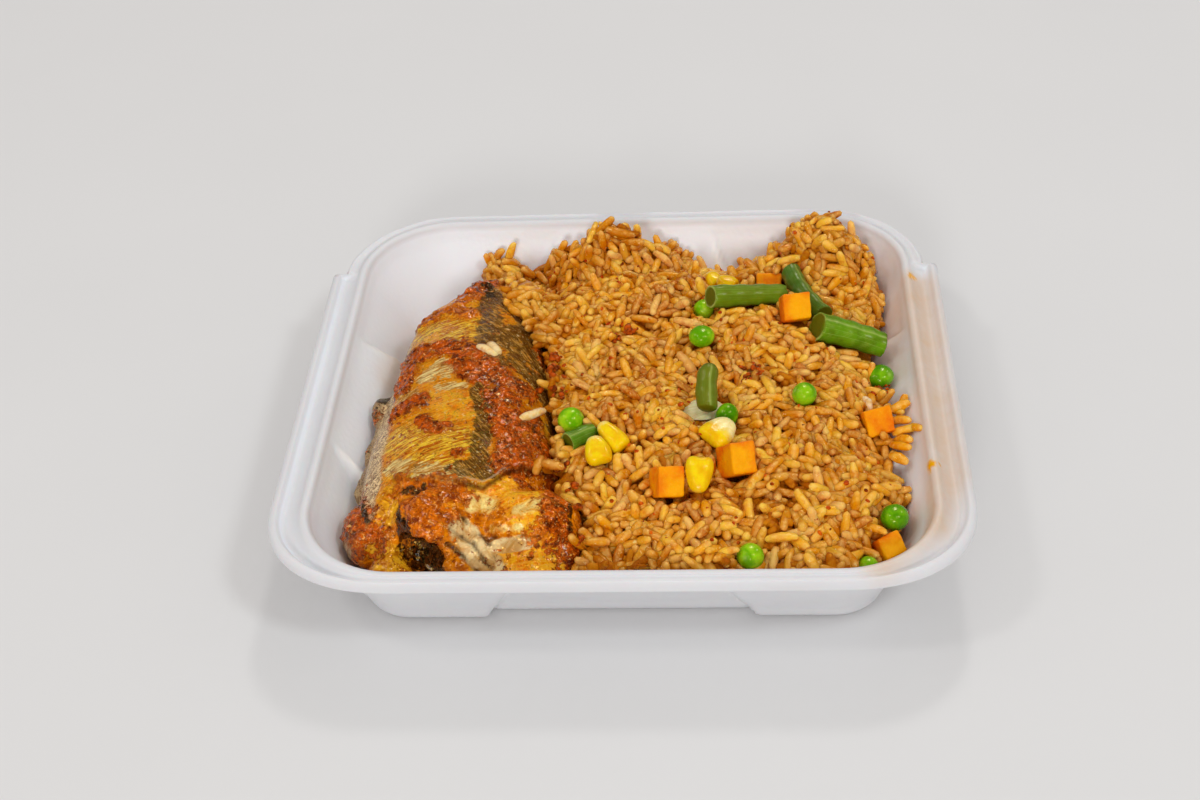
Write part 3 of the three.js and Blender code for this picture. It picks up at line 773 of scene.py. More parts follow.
def dressFish(mesh):  # relief, and the masks that the material reads
    points, normals = pointsOf(mesh), normalsOf(mesh)
    x, y, z = points.T
    edge = np.interp(x, fish["edgeX"], fish["edgeY"])
    isTop = fade(z, 15, 26)
    front = 1 - fade(y, edge - 1.5, edge - 0.2)
    masks = {name: nearness(points, rows, 2 * seed + 10) for seed, (name, rows) in enumerate(patches.items())}
    for name in ("yellow", "pale", "dark"):
        masks[name] = masks[name] * (1 - front)
    for name in ("flesh", "cream", "gill", "hole"):
        masks[name] = masks[name] * np.maximum(front, 0.3)
    sauce = fade(np.maximum(masks["stew"], masks["crust"]), 0.35, 0.65) * (1 - 0.4 * front)
    flesh = fade(masks["flesh"], 0.35, 0.6)
    crack = np.min([strokes(points, [(line, 1)]) for line in fleshCracks], axis=0)
    crack = (1 - fade(crack + 0.3 * noise(points, 2, 7), 0.3, 1.1)) * front
    grit = np.abs(noise(points, 2.1, 30)) + 0.8 * np.abs(noise(points, 1.1, 31))
    lift = sauce * (0.35 + 0.85 * grit) + noises(points, (0.35, 6, 32), (0.12, 1.5, 33))
    lift += front * (1 - flesh) * noises(points, (0.7, 4.6, 34), (0.1, 1.6, 35))
    lift += fade(y, 46, 54) * noises(points, (1.3, 4, 39), (0.6, 1.8, 40))  # the torn tail end
    lift += flesh * 0.3 * noise(points * (1, 1, 0.5), 4, 36) - 0.9 * crack - 1.2 * masks["hole"]
    lift += 0.7 * fade(masks["crust"], 0.4, 0.7) * front * noise(points, 3.4, 38)
    rim = bell(y - edge - 0.9, 1.1) * isTop
    roll = rim * fade(x, -53, -45)  # the skin's edge curls up more at its right end
    lift += 0.35 * rim * (1 + 0.8 * noise(points, 2.5, 37)) + 0.7 * roll
    movePoints(mesh, insideWall(points + normals * (lift * (0.25 + 0.75 * isTop))[:, None], 0.35))
    addMasks(
        mesh,
        **masks,
        front=front,
        crack=crack,
        rim=bell(y - edge + 0.1, 0.8) * isTop * (0.4 + 0.6 * fade(x, -55, -44)),
        roll=bell(y - edge - 1.6, 0.8) * isTop * fade(x, -50, -45) * (1 - fade(x, -36, -32)),
        flank=1 - fade(x + 0.15 * z - 5 + 1.2 * noise(points, 5, 50), -76, -70),
        grey=fade(y, 22, 34) * fade(x, -47, -42),
        fin=(1 - fade(x, -82, -79.5)) * fade(y, -48, -42),
    )


def fishPaint():
    paint = wetPaint("fried_fish", 0.08, 1, Specular_IOR_Level=0.7, Coat_Roughness=0.08)
    mask, mix, fade, blend, ragged = paint.mask, paint.mix, paint.fade, paint.blend, paint.ragged
    hair = paint.grain(0.7, 4, (9, 1, 7), (0, 0, 22), 1.0, 0.62)  # lines of the skin, rising to the back line
    hairBack = paint.grain(0.7, 4, (8, 1, 7), (0, 0, -50), 1.0, 0.62)  # and falling beyond it
    crease = paint.grain(1.0, 4, (1.2, 1, 8), (0, 0, 10), 1.6, 0.65)
    patchy = paint.grain(4, 5, warp=0.8, rough=0.66)
    speck = paint.grain(1.5, 4, warp=0.6, rough=0.65)
    fine = paint.spots(0.53, 0.66, 0.9, 3, rough=0.66)
    flakes = paint.grain(4.5, 3, (1, 1, 5), (0, 35, 0), 0.6, 0.6)
    glint = paint.spots(0.6, 0.68, 1.0, 3, warp=0.6, rough=0.66)
    wander, drift = patchy - 0.5, speck - 0.5
    front, flesh = mask("front"), mask("flesh")
    dark = ragged(mask("dark"), 5, 2.2, 0.3, 0.72)
    stew = ragged(mask("stew"), 5.4, 3, 0.44, 0.66)
    crust = ragged(mask("crust"), 4.6, 2.6, 0.4, 0.7)
    lines = fade(hair, 0.42, 0.6)
    hairs = fade(hairBack + 0.5 * wander, 0.49, 0.64)

    amber = blend(patchy, 0.34, 0.66, (236, 112, 0), (255, 190, 20))
    amber = mix(0.4 * lines, amber, (255, 204, 70))
    olive = blend(speck, 0.35, 0.65, (16, 7, 0), (84, 46, 2))
    olive = mix(0.4 * mask("grey"), olive, (84, 74, 62))
    olive = mix(0.75 * hairs, olive, mix(patchy, (170, 100, 8), (240, 186, 84)))
    beige = blend(crease, 0.38, 0.58, (120, 66, 24), (255, 224, 172))
    skin = paint.layers(
        blend(patchy, 0.32, 0.66, (200, 88, 0), (255, 156, 0)),
        (0.7 * lines, (246, 178, 26)),
        (ragged(mask("yellow"), 5, 2.0, 0.22, 0.8), mix(lines, (196, 88, 0), (255, 212, 56))),
        (ragged(mask("amber"), 4, 2.0, 0.25, 0.75), amber),
        (ragged(mask("pale"), 3, 2.0, 0.34, 0.72), mix(lines, (200, 126, 26), (252, 228, 150))),
        (fade(mask("flank") + 0.9 * wander, 0.35, 0.85), beige),
        (0.7 * fade(mask("stew") + 1.4 * wander, 0.0, 0.8), (176, 62, 0)),
        (0.55 * fade(speck + 0.8 * wander, 0.56, 0.7), (104, 42, 0)),
        (0.9 * dark, olive),
        (0.7 * glint, (255, 224, 150)),
    )
    white = blend(flakes, 0.34, 0.62, (188, 136, 64), (240, 212, 154))
    white = mix(0.6 * fade(patchy, 0.52, 0.66), white, (206, 132, 44))
    ochre = blend(patchy, 0.35, 0.65, (176, 84, 0), (250, 184, 34))
    buttery = blend(patchy, 0.36, 0.64, (222, 150, 30), (255, 230, 144))
    glaze = paint.layers(  # the front, where there is no skin
        blend(patchy, 0.3, 0.66, (148, 54, 0), (236, 134, 0)),
        (ragged(mask("amber"), 4, 2.0, 0.25, 0.75), amber),
        (ragged(mask("gill"), 4, 1.4, 0.25, 0.7), ochre),
        (ragged(mask("cream"), 4, 1.0, 0.3, 1.0), buttery),
        (ragged(flesh, 3.4, 0.7, 0.3, 0.7), white),
    )
    grainy = blend(patchy + 0.5 * drift, 0.32, 0.66, (124, 32, 0), (232, 112, 0))
    grainy = mix(0.7 * fade(speck, 0.56, 0.7), grainy, (255, 168, 44))
    deep = blend(patchy + 0.6 * drift, 0.32, 0.66, (70, 12, 0), (218, 88, 0))
    deep = mix(0.5 * fade(speck, 0.56, 0.7), deep, (232, 128, 18))
    # painted shade: near black inside the hollow
    pit = blend(speck, 0.4, 0.7, (14, 5, 0), (112, 52, 6))
    colour = paint.layers(
        mix(front, skin, glaze),
        (0.9 * crust, grainy),
        (0.93 * stew, deep),
        (0.55 * fine * (0.4 + 0.6 * stew) * (1 - 0.6 * flesh), (74, 22, 0)),
        (0.75 * glint * paint.math("MAXIMUM", stew, front), (252, 196, 120)),
        (0.85 * mask("rim"), (50, 20, 8)),
        (0.5 * fade(mask("roll") + 0.9 * wander, 0.5, 0.9), (206, 176, 138)),
        # painted shade in the flesh's cracks
        (0.85 * mask("crack"), (64, 32, 14)),
        (mask("fin") * fade(crease, 0.45, 0.6), (60, 32, 16)),
        (0.95 * ragged(mask("burn"), 3, 2.2, 0.4, 1.0), (24, 12, 6)),
        # painted shade in the hollow
        (ragged(mask("hole"), 3, 1.4, 0.38, 0.66), pit),
    )

    sauce = paint.math("MAXIMUM", stew, crust)
    rough = 0.14 - 0.03 * sauce + 0.1 * wander
    ribs = fade(mix(dark, hair, hairBack), 0.3, 0.7)
    drops = paint.grain(1.9, 1, warp=0.6)  # smooth, so that each one gleams
    height = (0.9 * drops + 0.8 * paint.grain(4.5, 1)) * (1 - 0.5 * flesh)
    height = height + 0.45 * (1 - sauce) * (1 - front) * ribs + 1.2 * sauce * drops
    coat = 0.02 + 0.2 * paint.math("MAXIMUM", sauce, front)
    return paint.finish(colour, rough, paint.bump(height, 0.6, 1.0), coat)


fishMesh = makeFish()
addPiece("fried_fish", fishMesh, "fish", fishPaint(), ["fish"])
print("fish ready", len(fishMesh.polygons))


# Vegetables: the CAD shapes made round, with their own relief.

def axesOf(points):  # middle, and the directions of most to least spread
    spread = points - points.mean(axis=0)
    ways = np.linalg.eigh(spread.T @ spread)[1]
    return boxOf(points)[0], ways[:, ::-1].T


def smoothCopy(node, sharp=180, levels=3):
    # a copy of a CAD node, as large, with its flat facets made round; edges sharper than sharp stay crisp
    shape = cadShape(node, flat=True)
    wide = math.radians(50)
    bmesh.ops.join_triangles(shape, faces=shape.faces, angle_face_threshold=wide, angle_shape_threshold=wide)
    crease = shape.edges.layers.float.new("crease_edge")
    for edge in shape.edges:
        edge[crease] = 0.75 if edge.calc_face_angle(0) > math.radians(sharp) else 0
    mesh = withModifier(meshOf(shape, node), "SUBSURF", levels=levels, render_levels=levels)
    points = pointsOf(mesh)
    low, high = [np.array(corner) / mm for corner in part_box(node)]
    middle, size = boxOf(points)
    movePoints(mesh, (points - middle) / size * (high - low) + (high + low) / 2)
    return mesh


def makeEach(kind, name, paint, rows, build):  # a piece for each CAD node of a kind
    for k, row in enumerate(rows):
        node = f"{kind}_{k + 1}"
        addPiece(f"{name}_{k + 1}", build(node, k, row), kind, paint, [node])


# How light each pea's green is, from 0 to 1.
peaTones = [0.9, 0.65, 1.0, 0.2, 0.5, 0.35, 0.25, 0.75, 0.7]


def peaPaint():
    paint = wetPaint("pea_skin", 0.2, 1.2, Coat_Weight=0.25, Coat_Roughness=0.12)
    deep = paint.mix(paint.mask("shade"), (44, 122, 0), (112, 184, 0))
    light = paint.mix(paint.mask("shade"), (92, 172, 0), (176, 224, 30))
    colour = paint.mix(paint.spots(0.35, 0.7, 4.5, 3, warp=0.4), deep, light)
    colour = paint.mix(paint.mask("eye"), colour, (190, 210, 110))
    wrinkle = paint.grain(1.5, 2, warp=1.2) + 0.3 * paint.grain(0.4, 2)
    return paint.finish(colour, 0.2 + 0.12 * paint.grain(1.5), paint.bump(wrinkle, 0.1, 0.35))


def peaMesh(node, k, shade):
    mesh = smoothCopy(node)
    points = pointsOf(mesh)
    middle = points.mean(axis=0)
    radius = boxOf(points)[1].mean() / 2
    dimple = noise(points + 40 * k, 5, k) * 0.035 + noise(points + 40 * k, 2, k) * 0.012
    points = middle + (points - middle) * (1 + dimple)[:, None]
    angle = 2.4 * k
    eye = middle + radius * np.array([0.8 * math.cos(angle), 0.8 * math.sin(angle), 0.55])
    away = np.linalg.norm(points - eye, axis=1)
    movePoints(mesh, points - unit(points - middle) * (0.22 * bell(away, 0.8))[:, None])
    addMasks(mesh, shade=shade, eye=0.5 * bell(away, 0.7))
    return mesh


def cornPaint():
    paint = wetPaint("corn_skin", 0.2, 1.5, Coat_Weight=0.2, Coat_Roughness=0.12)
    yellow = paint.mix(paint.spots(0.35, 0.65, 4, 3), (240, 184, 0), (250, 218, 10))
    pale = paint.mix(paint.grain(0.8, 3), (240, 216, 110), (252, 240, 190))
    tip = paint.mask("tip") + 0.35 * (paint.grain(1.6, 3) - 0.5)
    colour = paint.blend(tip, 0.55, 0.85, yellow, pale)
    height = paint.grain(0.9, 2, warp=0.8) + 0.6 * paint.grain(3)
    return paint.finish(colour, 0.3 + 0.12 * paint.grain(1.2), paint.bump(height, 0.12, 0.4))


# How far each kernel's pale tip reaches, from 0 to 1.
cornTips = [0.15, 0.2, 0.55, 0.0, 0.2, 0.1]


def cornMesh(node, k, tipReach):
    mesh = smoothCopy(node)
    points = pointsOf(mesh)
    middle, (along, across, through) = axesOf(points)
    t, side = (points - middle) @ along, (points - middle) @ across
    if np.abs(side[t > 0]).mean() > np.abs(side[t < 0]).mean():  # the tip is the narrow end
        t, along = -t, -along
    t = t / t.max()
    dent = np.exp(-(((t + 1) / 0.35) ** 2) - (side / 2.2) ** 2)  # the dimple in the crown
    germ = bell(side, 1.6) * fade(t, -0.5, 0.3) * ((points - middle) @ through > 0)
    points = points + np.outer(0.9 * dent, along) - np.outer(0.35 * germ, through)
    movePoints(mesh, points + unit(points - middle) * (0.18 * noise(points, 2.5, k))[:, None])
    addMasks(mesh, tip=(t + 1) / 2 + tipReach - 0.4)
    return mesh


def carrotPaint():
    paint = wetPaint("carrot_flesh", 0.15, 1.5)
    wetSheen = paint.grain(0.55, 3)
    colour = paint.layers(
        paint.mix(paint.spots(0.3, 0.7, 6, 3), (236, 106, 0), (250, 156, 0)),
        (0.7 * paint.mask("core"), (255, 182, 0)),
        # painted sheen: small lighter spots where the cut face is wet
        (0.2 * paint.fade(wetSheen, 0.5, 0.7), (255, 184, 60)),
    )
    fibres = paint.grain(0.45, 3, (1, 5, 1), (0, 0, 12))
    return paint.finish(colour, 0.3 + 0.25 * paint.grain(0.8), paint.bump(fibres + wetSheen, 0.16, 0.55))


def carrotMesh(node, k, corePlace):
    shape = cadShape(node, flat=True)
    bmesh.ops.bevel(
        shape, geom=shape.edges[:], affect="EDGES", offset=0.5 * mm, segments=3, profile=0.5, material=-1
    )
    mesh = wrapped(meshOf(shape, node), 0.32, 3)
    points, normals = pointsOf(mesh), normalsOf(mesh)
    rough = noises(points, (0.22, 3.4, 60 + k), (0.1, 1.1, 70 + k))
    movePoints(mesh, points + normals * rough[:, None])
    away = np.linalg.norm(points - points.mean(axis=0) - corePlace, axis=1)
    addMasks(mesh, core=1 - fade(away + noise(points, 2.5, k), 3, 6.5))
    return mesh


# How light each bean's green is, how olive, and how far its cut ends show a rim.
beanTones = [(1, 0.55, 1), (0.2, 0.1, 0.4), (1, 0.1, 1), (0.4, 0.9, 0), (0.6, 0.0, 0.8)]


def beanPaint():
    paint = wetPaint("bean_skin", 0.12, 1.5, Coat_Weight=0.2, Coat_Roughness=0.2)
    light, olive, cut = paint.mask("shade"), paint.mask("olive"), paint.mask("cut")
    pale = paint.mix(light, (128, 166, 104), (160, 196, 84))
    lines = paint.lines(4 * paint.mask("around"))
    # painted sheen: pale streaks along the pod
    sheenStreak = paint.fade(lines + 0.5 * (paint.grain(2.6, 3) - 0.5), 0.5, 0.8)
    colour = paint.layers(
        paint.mix(light, (52, 96, 26), (96, 154, 6)),
        (0.6 * paint.spots(0.35, 0.7, 5, 3), (62, 94, 0)),
        (olive, (104, 118, 18)),
        # painted sheen along the pod
        ((0.7 - 0.4 * olive) * sheenStreak, pale),
        (0.5 * paint.mask("seam"), (168, 190, 96)),
        # cut ends: a darker olive, partly the cut flesh and partly painted shade, with a paler rim
        (cut, paint.mix(paint.mask("rimmed"), (92, 100, 8), (176, 194, 100))),
    )
    height = 0.6 * lines + 0.5 * paint.grain(0.8, 2) + paint.grain(4)
    return paint.finish(colour, 0.42 + 0.15 * cut, paint.bump(height, 0.12, 0.5))


def beanMesh(node, k, row):
    light, olive, rimmed = row
    mesh = smoothCopy(node, 60 if rimmed else 180, 4)
    points, normals = pointsOf(mesh), normalsOf(mesh)
    middle, (along, across, through) = axesOf(points)
    t, u, v = [(points - middle) @ way for way in (along, across, through)]
    reach = np.abs(t).max()
    u, v = [side - np.polyval(np.polyfit(t, side, 2), t) for side in (u, v)]  # away from the bent middle line
    around, radius = np.arctan2(v, u), np.hypot(u, v)
    cut = fade(np.abs(normals @ along), 0.6, 0.85) * fade(np.abs(t), reach - 2.5, reach - 1.6)
    rim = fade(radius / radius.max(), 0.72, 0.84)
    sink = rimmed * cut * (0.35 * (1 - rim) + 0.12 * noise(points, 1.4, k))
    swell = (1 - cut) * (0.16 * np.sin(t * 0.95 + k) + 0.12 * noise(points, 4, k))  # the seeds inside
    movePoints(mesh, points + normals * (swell - sink)[:, None])
    seamAt = np.arctan2(through[2], across[2]) - 0.35  # near the top of the pod
    seam = bell(np.angle(np.exp(1j * (around - seamAt))), 0.1) * (1 - cut)
    addMasks(mesh, shade=light, olive=olive, around=around, seam=seam, cut=cut, rimmed=rimmed * rim)
    return mesh


def onionPaint():
    paint = wetPaint("onion_flesh", 0.3, 2, Coat_Weight=0.2, Coat_Roughness=0.2)
    ribbed = paint.fade(paint.lines(9 * paint.mask("fan")), 0.4, 0.65)
    colour = paint.mix(ribbed, (232, 224, 160), (248, 242, 206))
    colour = paint.mix(0.5 * paint.spots(0.45, 0.7, 3, 3), colour, (222, 190, 108))
    return paint.finish(colour, 0.32, paint.bump(ribbed + 0.3 * paint.grain(1, 3), 0.12, 0.5))


def onionMesh():
    mesh = smoothCopy("onion")
    points = pointsOf(mesh)
    middle, (along, across, through) = axesOf(points)
    source = middle - 11 * along  # where the slice's lines run together
    addMasks(mesh, fan=np.arctan2((points - source) @ across, (points - source) @ along))
    movePoints(mesh, points + np.outer(0.25 * noise(points, 4, 3), through))
    return mesh


# Where each carrot's paler core is, from its middle.
carrotCores = [(3.2 * math.cos(1.7 * k), -3.5, 2.5 * math.sin(2.1 * k)) for k in range(6)]

makeEach("pea", "green_pea", peaPaint(), peaTones, peaMesh)
makeEach("corn", "corn_kernel", cornPaint(), cornTips, cornMesh)
makeEach("carrot", "carrot_dice", carrotPaint(), carrotCores, carrotMesh)
makeEach("bean", "bean_piece", beanPaint(), beanTones, beanMesh)
addPiece("onion_slice", onionMesh(), "onion", onionPaint(), ["onion"])
print("vegetables ready")


# Rice: grains that settle on a core of their own.

rice = {
    "grains": 2620,
    "deepGrains": 1700,  # fused to the core
    "length": 9.0,
    "width": 3.25,
    "thick": 2.8,
    "uneven": 0.14,  # how much lengths differ, and twice what widths do
    "broken": 0.1,  # share of grains
    "lumpy": 0.36,
    "clumps": 0.36,  # how much lighter and darker clumps are
    "pale": 0.08,  # share of grains
    "sunk": 3.9,  # from the heap's surface to the core
    "layers": (0.6, 3.9),  # heights over the core where grains start
    "mounds": 2.1,  # how far clumps rise and dip
    "tilt": 0.75,
    "rounds": 42,
    "near": 9,  # between middles of grains that may touch
    "give": 0.42,  # share of an overlap that a round takes away
    "fall": 0.16,  # towards the core, in a round
    "clearOf": (1.0, 1.4, 1.5),  # what grains' middle lines keep from the core, other food and the wall
    "overlap": 0.56,  # of a grain's width that neighbours keep clear
    "covered": 0.36,  # share of a vegetable's height that grains may hide
    "seed": 11,
}

looseGrains = {
    "ends": [
        [(-49, 7.4, 41.9), (-41.6, 2, 41.9)], [(-45.4, 9.4, 41.4), (-41, 2.6, 42.2)],
        [(-32.4, -28.6, 39.6), (-24.6, -20.6, 37)], [(89.2, -20, 26.6), (94, -28, 33.6)],
        [(88.2, -12.5, 24.6), (90.6, -7, 30.6)], [(85.6, -25, 26), (90.4, -31, 31.4)],
        [(84, -10, 27), (89.5, -15, 29)], [(85, -17, 27.5), (91, -21, 31)],
        [(85, -24, 28), (92, -24.5, 31)], [(84, -28, 27), (90.5, -33, 29.5)],
        [(85, -14, 29), (91.5, -11, 30.5)], [(83.5, -33, 27), (89, -38, 28)],
    ],
    "pale": 3,  # how many of the first ones are pale
    "seed": 5,
}

bits = {
    "flecks": 340,
    "fleckSpan": (0.6, 1.5),
    "parts": 6,  # in each of the larger bits
    "rows": [  # place, span, and what it is: 0 stew, 0.5 red pepper, 1 cream
        ((0.9, 21.3, 36.8), 4.6, 0), ((-0.9, 25.1, 37.2), 3.2, 0.3), ((-3, 17.5, 36.4), 3.2, 0),
        ((41.4, 0.6, 36), 4.4, 0), ((40, -5.6, 36.6), 3.6, 0), ((42.9, -3.5, 37.4), 2.6, 0.3),
        ((24.7, -36.5, 39.6), 2.4, 0.5), ((22, -28.2, 35.2), 2.4, 0.5), ((12.9, -24.3, 36), 2.6, 0.5),
        ((82.3, -0.8, 27.2), 4.6, 0), ((80.1, -4.5, 27.8), 3.8, 0), ((84.5, 1.6, 27), 3, 0.3),
        ((78.6, -15, 33), 3.2, 1), ((77.2, -12.6, 33.2), 2, 1),
        ((-23.6, -0.7, 35.8), 5, 0), ((-22.4, 4.2, 36), 4, 0.2), ((-25.2, -5.8, 34.8), 4.6, 0),
        ((-23.5, 9, 35.6), 3.6, 0), ((-20.6, -10.5, 35), 3.2, 0.2), ((-17.6, -47, 34.6), 4, 0),
        ((-15, -56, 35), 3.6, 0), ((-13, -64, 34.6), 3, 0.2), ((-12, -76, 31.6), 3.4, 0),
    ],
    "seed": 29,
}


def treeOf(meshes):  # one search tree for the surfaces of several meshes, in millimetres
    points, faces = [], []
    for mesh in meshes:
        first = len(points)
        points += [Vector(point) for point in pointsOf(mesh)]
        faces += [[first + i for i in face.vertices] for face in mesh.polygons]
    return BVHTree.FromPolygons(points, faces)


def makeCore():
    mesh = wrapped(meshOf(cadShape("rice"), "rice"), 1.5, 3)
    points = pointsOf(mesh) - normalsOf(mesh) * rice["sunk"]
    points[:, 2] = np.maximum(points[:, 2], tray["floor"] + 0.6)
    movePoints(mesh, points)
    mesh = wrapped(mesh, 1.1, 4)
    points, normals = pointsOf(mesh), normalsOf(mesh)
    relief = rice["mounds"] * noises(points, (1, 12, 5), (0.7, 6, 7)) + 0.35 * noise(points, 1.6, 6)
    movePoints(mesh, points + normals * relief[:, None])
    return mesh


def corePaint():
    paint = wetPaint("rice_depth", 0.1, 1)
    colour = paint.mix(paint.spots(0.3, 0.7, 4, 3), (168, 82, 0), (206, 124, 8))
    colour = paint.mix(paint.spots(0.5, 0.7, 1.4, 3), colour, (204, 126, 14))
    height = paint.grain(2.4, 3, (1, 2, 1)) + 0.4 * paint.grain(0.8, 2)
    return paint.finish(colour, 0.45, paint.bump(height, 0.8, 0.8))


def sampleCore(mesh, count, random, solids):  # places and ways out on the part of the core that shows
    points = pointsOf(mesh)
    middles, normals, areas = [], [], []
    for face in mesh.polygons:
        middle = points[list(face.vertices)].mean(axis=0)
        if face.normal.z < -0.25 or middle[2] < 8:  # looks down, or is too low to be seen
            continue
        hit = solids.ray_cast(Vector((middle[0], middle[1], 90)), Vector((0, 0, -1)))[0]
        if hit is not None and hit.z > middle[2] + 7:
            continue  # under the fish, the rim or a vegetable
        middles.append(middle)
        normals.append(face.normal[:])
        areas.append(face.area)
    areas = np.array(areas)
    chosen = random.choice(len(areas), count, p=areas / areas.sum())
    places = np.array(middles)[chosen] + random.uniform(-0.6, 0.6, (count, 3))
    return places, np.array(normals)[chosen]


def closestOnSegments(p, d, q, e):  # shares along segments p + s d and q + t e where they are nearest
    r = p - q
    a, b, c = (d * d).sum(1), (d * e).sum(1), (e * e).sum(1)
    f, g = (d * r).sum(1), (e * r).sum(1)
    denominator = np.maximum(a * c - b * b, 1e-6)
    s = np.clip((b * g - c * f) / denominator, 0, 1)
    t = np.clip((b * s + g) / np.maximum(c, 1e-6), 0, 1)
    s = np.clip((b * t - f) / np.maximum(a, 1e-6), 0, 1)
    return s[:, None], t[:, None]


def pushOut(tree, points, clear):  # how points move so that they are clear of a surface
    moves = np.zeros_like(points)
    for i, point in enumerate(points):
        near, normal, _, away = tree.find_nearest(Vector(point), 6)
        if near is None:
            continue
        side = (Vector(point) - near).dot(normal)
        depth = clear - (away if side > 0 else -away)
        if depth > 0:
            moves[i] = np.array(normal) * min(depth, 1.2)
    return moves


def settle(heap, core, solids):  # pushes grains apart and down on the core, each a segment with round ends
    middle, way = heap.middle, unit(heap.way)
    half, radius = heap.half[:, None], heap.radius
    overCore, overFood, offWall = rice["clearOf"]
    for step in range(rice["rounds"]):
        if step % 6 == 0:
            squares = (middle**2).sum(1)
            away = squares[:, None] + squares[None] - 2 * middle @ middle.T
            first, second = np.nonzero(np.triu(away < rice["near"] ** 2, 1))
            nearSolid = np.array([solids.find_nearest(Vector(m), 7)[0] is not None for m in middle])
        p, q = middle - way * half, middle + way * half
        s, t = closestOnSegments(p[first], (q - p)[first], p[second], (q - p)[second])
        gap = p[first] + s * (q - p)[first] - p[second] - t * (q - p)[second]
        size = np.maximum(np.linalg.norm(gap, axis=1), 1e-4)
        push = np.maximum(radius[first] + radius[second] - size, 0) * rice["give"]
        shift = gap / size[:, None] * push[:, None]
        count = np.bincount(first, push > 0, len(p)) + np.bincount(second, push > 0, len(p))
        ease = 1 / np.maximum(1, 0.45 * count)[:, None]
        moveP, moveQ = np.zeros_like(p), np.zeros_like(q)
        for grain, move, share in ((first, shift, s), (second, -shift, t)):
            np.add.at(moveP, grain, move * (1 - share))
            np.add.at(moveQ, grain, move * share)
        p, q = p + moveP * ease, q + moveQ * ease
        if step % 3 == 0:
            for ends in (p, q):
                ends += pushOut(core, ends, overCore)
                ends[nearSolid] += pushOut(solids, ends[nearSolid], overFood)
                ends[:] = insideWall(ends, offWall)
            down = np.zeros_like(p)
            for i, m in enumerate((p + q) / 2):
                near, _, _, distance = core.find_nearest(Vector(m), 12)
                if near is not None and distance > 1.6:
                    down[i] = np.array(near - Vector(m)) / distance * rice["fall"]
            p, q = p + down, q + down
        middle = (p + q) / 2
        way = unit(q - p)
    heap.middle, heap.way = middle, way


def grainTemplate(sides, rings):  # a grain's points and faces, and how near each point is to its tips
    mesh, ball = startMesh("grain", bmesh.ops.create_uvsphere, u_segments=sides, v_segments=rings, radius=1)
    ring = np.hypot(ball[:, 0], ball[:, 1])
    blunt = np.maximum(ring, 1e-6) ** -0.44
    points = np.stack([ball[:, 2], ball[:, 0] * blunt, ball[:, 1] * blunt], axis=1)
    return points, facesOf(mesh), fade(np.abs(points[:, 0]), 0.75, 1.0)


def grainPoints(template, middle, way, up, sizes, bend, taper):  # every grain's points, from one template
    up = unit(up - (up * way).sum(1, keepdims=True) * way)
    side = np.cross(up, way)
    along, across, through = template.T
    thin = 1 - taper[:, None] * along
    x = along * sizes[:, :1] / 2
    y = across * thin * sizes[:, 1:2] / 2
    z = through * thin * sizes[:, 2:3] / 2 + bend[:, None] * (0.4 - along**2)
    grain = x[..., None] * way[:, None] + y[..., None] * side[:, None] + z[..., None] * up[:, None]
    uneven = noise((grain + 7 * middle[:, None]).reshape(-1, 3), 2.5, 4).reshape(y.shape + (1,))
    return middle[:, None] + grain + rice["lumpy"] * uneven * unit(grain)


def joined(name, clusters, faces, **masks):  # one mesh of many copies; masks have a value for each copy
    count, size = clusters.shape[:2]
    allFaces = [[k * size + i for i in face] for k in range(count) for face in faces]
    mesh = bpy.data.meshes.new(name)
    mesh.from_pydata((clusters.reshape(-1, 3) * mm).tolist(), [], allFaces)
    addMasks(mesh, **{mask: np.repeat(values, size) for mask, values in masks.items()})
    return mesh


def grainsMesh(name, clusters, faces, tips, **masks):
    mesh = joined(name, clusters, faces, **masks)
    top = normalsOf(mesh) @ unit(np.array((0.1, -0.5, 0.85)))  # painted sheen: lighter where a grain's side faces up and to the front, towards the lamps
    addMasks(mesh, tips=np.tile(tips, len(clusters)), ridge=fade(top, 0.7, 0.97))
    return mesh


def ricePaint():
    paint = wetPaint("rice_grain", 0.4, 1.6, Subsurface_Radius=(1, 0.6, 0.3))
    shade = paint.mask("shade")
    # painted sheen on the grains' lit tops, broken into soft spots
    ridge = paint.mask("ridge") * paint.spots(0.34, 0.62, 2.2, 3, rough=0.6)
    colour = paint.layers(
        paint.blend(shade, 0.0, 0.3, (188, 98, 0), (216, 134, 2)),
        (paint.fade(shade, 0.2, 0.55), (238, 160, 12)),
        (paint.fade(shade, 0.55, 0.88), (252, 194, 58)),
        (paint.fade(shade, 0.9, 0.96), (240, 182, 96)),
        (paint.fade(shade, 1.1, 1.3), (250, 220, 166)),
        (0.65 * paint.spots(0.5, 0.72, 6, 4, rough=0.6), (206, 98, 0)),
        (0.5 * paint.spots(0.48, 0.7, 1.5, 3), (250, 200, 84)),
        (0.45 * paint.spots(0.54, 0.7, 1.9, 3, warp=0.5), (196, 92, 0)),
        (0.45 * paint.spots(0.58, 0.7, 10, 4, rough=0.6), (200, 76, 0)),
        # sauce and painted shade on grains low in the heap
        (0.5 * paint.mask("sunk"), (176, 88, 0)),
        (0.35 * paint.mask("tips"), (250, 212, 120)),
        # painted sheen on the lit tops
        (0.4 * ridge, (255, 218, 136)),
        # painted glints: small bright spots standing in for highlights
        (0.6 * paint.spots(0.64, 0.71, 1.3, 3, warp=0.6, rough=0.6), (255, 228, 160)),
    )
    rough = 0.18 + 0.2 * (paint.grain(1.5, 2) - 0.5)
    height = paint.grain(1.5, 3) + 0.3 * paint.grain(0.6, 2)
    return paint.finish(colour, rough, paint.bump(height, 0.3, 0.9))


